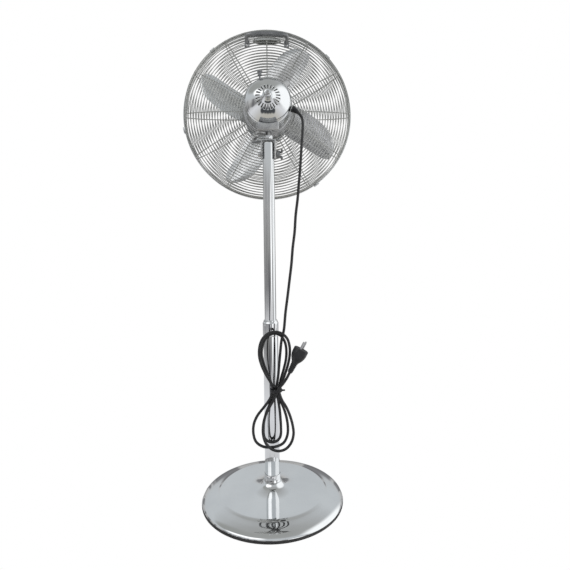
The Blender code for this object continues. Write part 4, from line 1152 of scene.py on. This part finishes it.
class Sky:
    """The room that the chrome mirrors. Elevations are in degrees, and azimuths run from +Y towards -X."""

    def __init__(self):
        world = bpy.data.worlds.new("studio")
        bpy.context.scene.world = world
        world.use_nodes = True
        self.tree = world.node_tree
        self.tree.nodes.clear()
        self.way = self.tree.nodes.new("ShaderNodeTexCoord").outputs["Generated"]
        parts = self.tree.nodes.new("ShaderNodeSeparateXYZ")
        self.tree.links.new(self.way, parts.inputs["Vector"])
        self.x, self.y, self.z = parts.outputs
        self.color = None

    def maths(self, operation, *values):
        node = self.tree.nodes.new("ShaderNodeMath")
        node.operation = operation
        for socket, value in zip(node.inputs, values):
            if isinstance(value, (int, float)):
                socket.default_value = value
            else:
                self.tree.links.new(value, socket)
        return node.outputs["Value"]

    def walls(self, stops):
        """Starts the room off with a colour for each elevation."""
        node = self.tree.nodes.new("ShaderNodeValToRGB")
        elements = node.color_ramp.elements
        places = [0.5 + 0.5 * math.sin(math.radians(elevation)) for elevation, _ in stops]
        elements[0].position, elements[1].position = places[0], places[-1]
        for place in places[1:-1]:
            elements.new(place)
        for element, (_, color) in zip(elements, stops):
            element.color = (*color, 1.0)
        self.tree.links.new(self.maths("MULTIPLY_ADD", self.z, 0.5, 0.5), node.inputs["Fac"])
        self.color = node.outputs["Color"]

    def lay(self, share, color):
        """Lays a colour over the room, by the share given."""
        node = self.tree.nodes.new("ShaderNodeMix")
        node.data_type = "RGBA"
        self.tree.links.new(share, node.inputs["Factor"])
        self.tree.links.new(self.color, node.inputs["A"])
        node.inputs["B"].default_value = (*color, 1.0)
        self.color = node.outputs["Result"]

    def fade(self, value, start, end):
        node = self.tree.nodes.new("ShaderNodeMapRange")
        node.interpolation_type = "SMOOTHSTEP"
        node.inputs["From Min"].default_value = start
        node.inputs["From Max"].default_value = end
        self.tree.links.new(value, node.inputs["Value"])
        return node.outputs["Result"]

    def spot(self, azimuth, elevation, inner, outer, color):
        """Lays a round patch over the room: whole inside the inner angle, gone at the outer one."""
        a, e = math.radians(azimuth), math.radians(elevation)
        node = self.tree.nodes.new("ShaderNodeVectorMath")
        node.operation = "DOT_PRODUCT"
        node.inputs[1].default_value = (-math.sin(a) * math.cos(e), math.cos(a) * math.cos(e), math.sin(e))
        self.tree.links.new(self.way, node.inputs[0])
        share = self.fade(node.outputs["Value"], math.cos(math.radians(outer)), math.cos(math.radians(inner)))
        self.lay(share, color)

    def uprights(self, scale, seed, threshold, low, high, color, strength):
        """Lays upright strips along the walls, between two elevations."""
        turn = self.maths("ARCTAN2", self.x, self.y)
        noise = self.tree.nodes.new("ShaderNodeTexNoise")
        noise.noise_dimensions = "1D"
        noise.inputs["Scale"].default_value = scale
        noise.inputs["Detail"].default_value = 2.0
        self.tree.links.new(self.maths("ADD", turn, seed), noise.inputs["W"])
        strips = self.fade(noise.outputs["Fac"], threshold, threshold + 0.05)
        above = self.fade(self.z, math.sin(math.radians(low)), math.sin(math.radians(low + 4)))
        below = self.fade(self.z, math.sin(math.radians(high)), math.sin(math.radians(high - 6)))
        share = self.maths("MULTIPLY", self.maths("MULTIPLY", above, below), strips)
        self.lay(self.maths("MULTIPLY", share, strength), color)

    def finish(self):
        """The camera sees plain white behind the fan."""
        path = self.tree.nodes.new("ShaderNodeLightPath")
        self.lay(path.outputs["Is Camera Ray"], (1.0, 1.0, 1.0))
        glow = self.tree.nodes.new("ShaderNodeBackground")
        self.tree.links.new(self.color, glow.inputs["Color"])
        out = self.tree.nodes.new("ShaderNodeOutputWorld")
        self.tree.links.new(glow.outputs["Background"], out.inputs["Surface"])


def make_sky():
    sky = Sky()
    sky.walls([
        (-90, (0.52, 0.5, 0.45)), (-60, (0.54, 0.52, 0.47)), (-38, (0.66, 0.66, 0.66)),
        (-22, (0.8, 0.81, 0.84)), (-12, (0.66, 0.66, 0.67)), (-7, (0.34, 0.34, 0.34)),
        (0, (0.4, 0.4, 0.39)), (8, (0.55, 0.55, 0.55)), (22, (0.58, 0.61, 0.63)),
        (38, (0.6, 0.63, 0.65)), (60, (0.42, 0.43, 0.43)), (90, (0.38, 0.39, 0.38)),
    ])
    sky.uprights(5.0, 3.0, 0.48, -14.0, 17.0, (0.1, 0.1, 0.11), 0.7)
    sky.spot(90.0, 22.0, 28.0, 46.0, (1.15, 1.17, 1.18))
    sky.spot(-96.0, 54.0, 12.0, 26.0, (0.36, 0.37, 0.36))
    sky.spot(32.0, 0.0, 9.0, 17.0, (1.3, 1.31, 1.32))
    sky.spot(-20.0, -11.0, 6.0, 12.0, (0.08, 0.08, 0.09))
    sky.spot(-62.0, 40.0, 11.0, 20.0, (1.35, 1.36, 1.37))
    sky.spot(-35.0, 40.0, 10.0, 20.0, (1.45, 1.46, 1.47))
    for azimuth, elevation in ((-36.0, -44.0), (-18.0, -49.0), (0.0, -51.0), (18.0, -49.0), (36.0, -44.0)):
        sky.spot(azimuth, elevation, 8.0, 13.0, (0.07, 0.075, 0.08))
    sky.finish()


bpy.context.scene.view_settings.view_transform = "Standard"
make_camera()
make_cords()
make_base()
make_column()
make_neck()
make_motor()
make_guards()
make_blades()
finish_frame()
make_light()
make_sky()
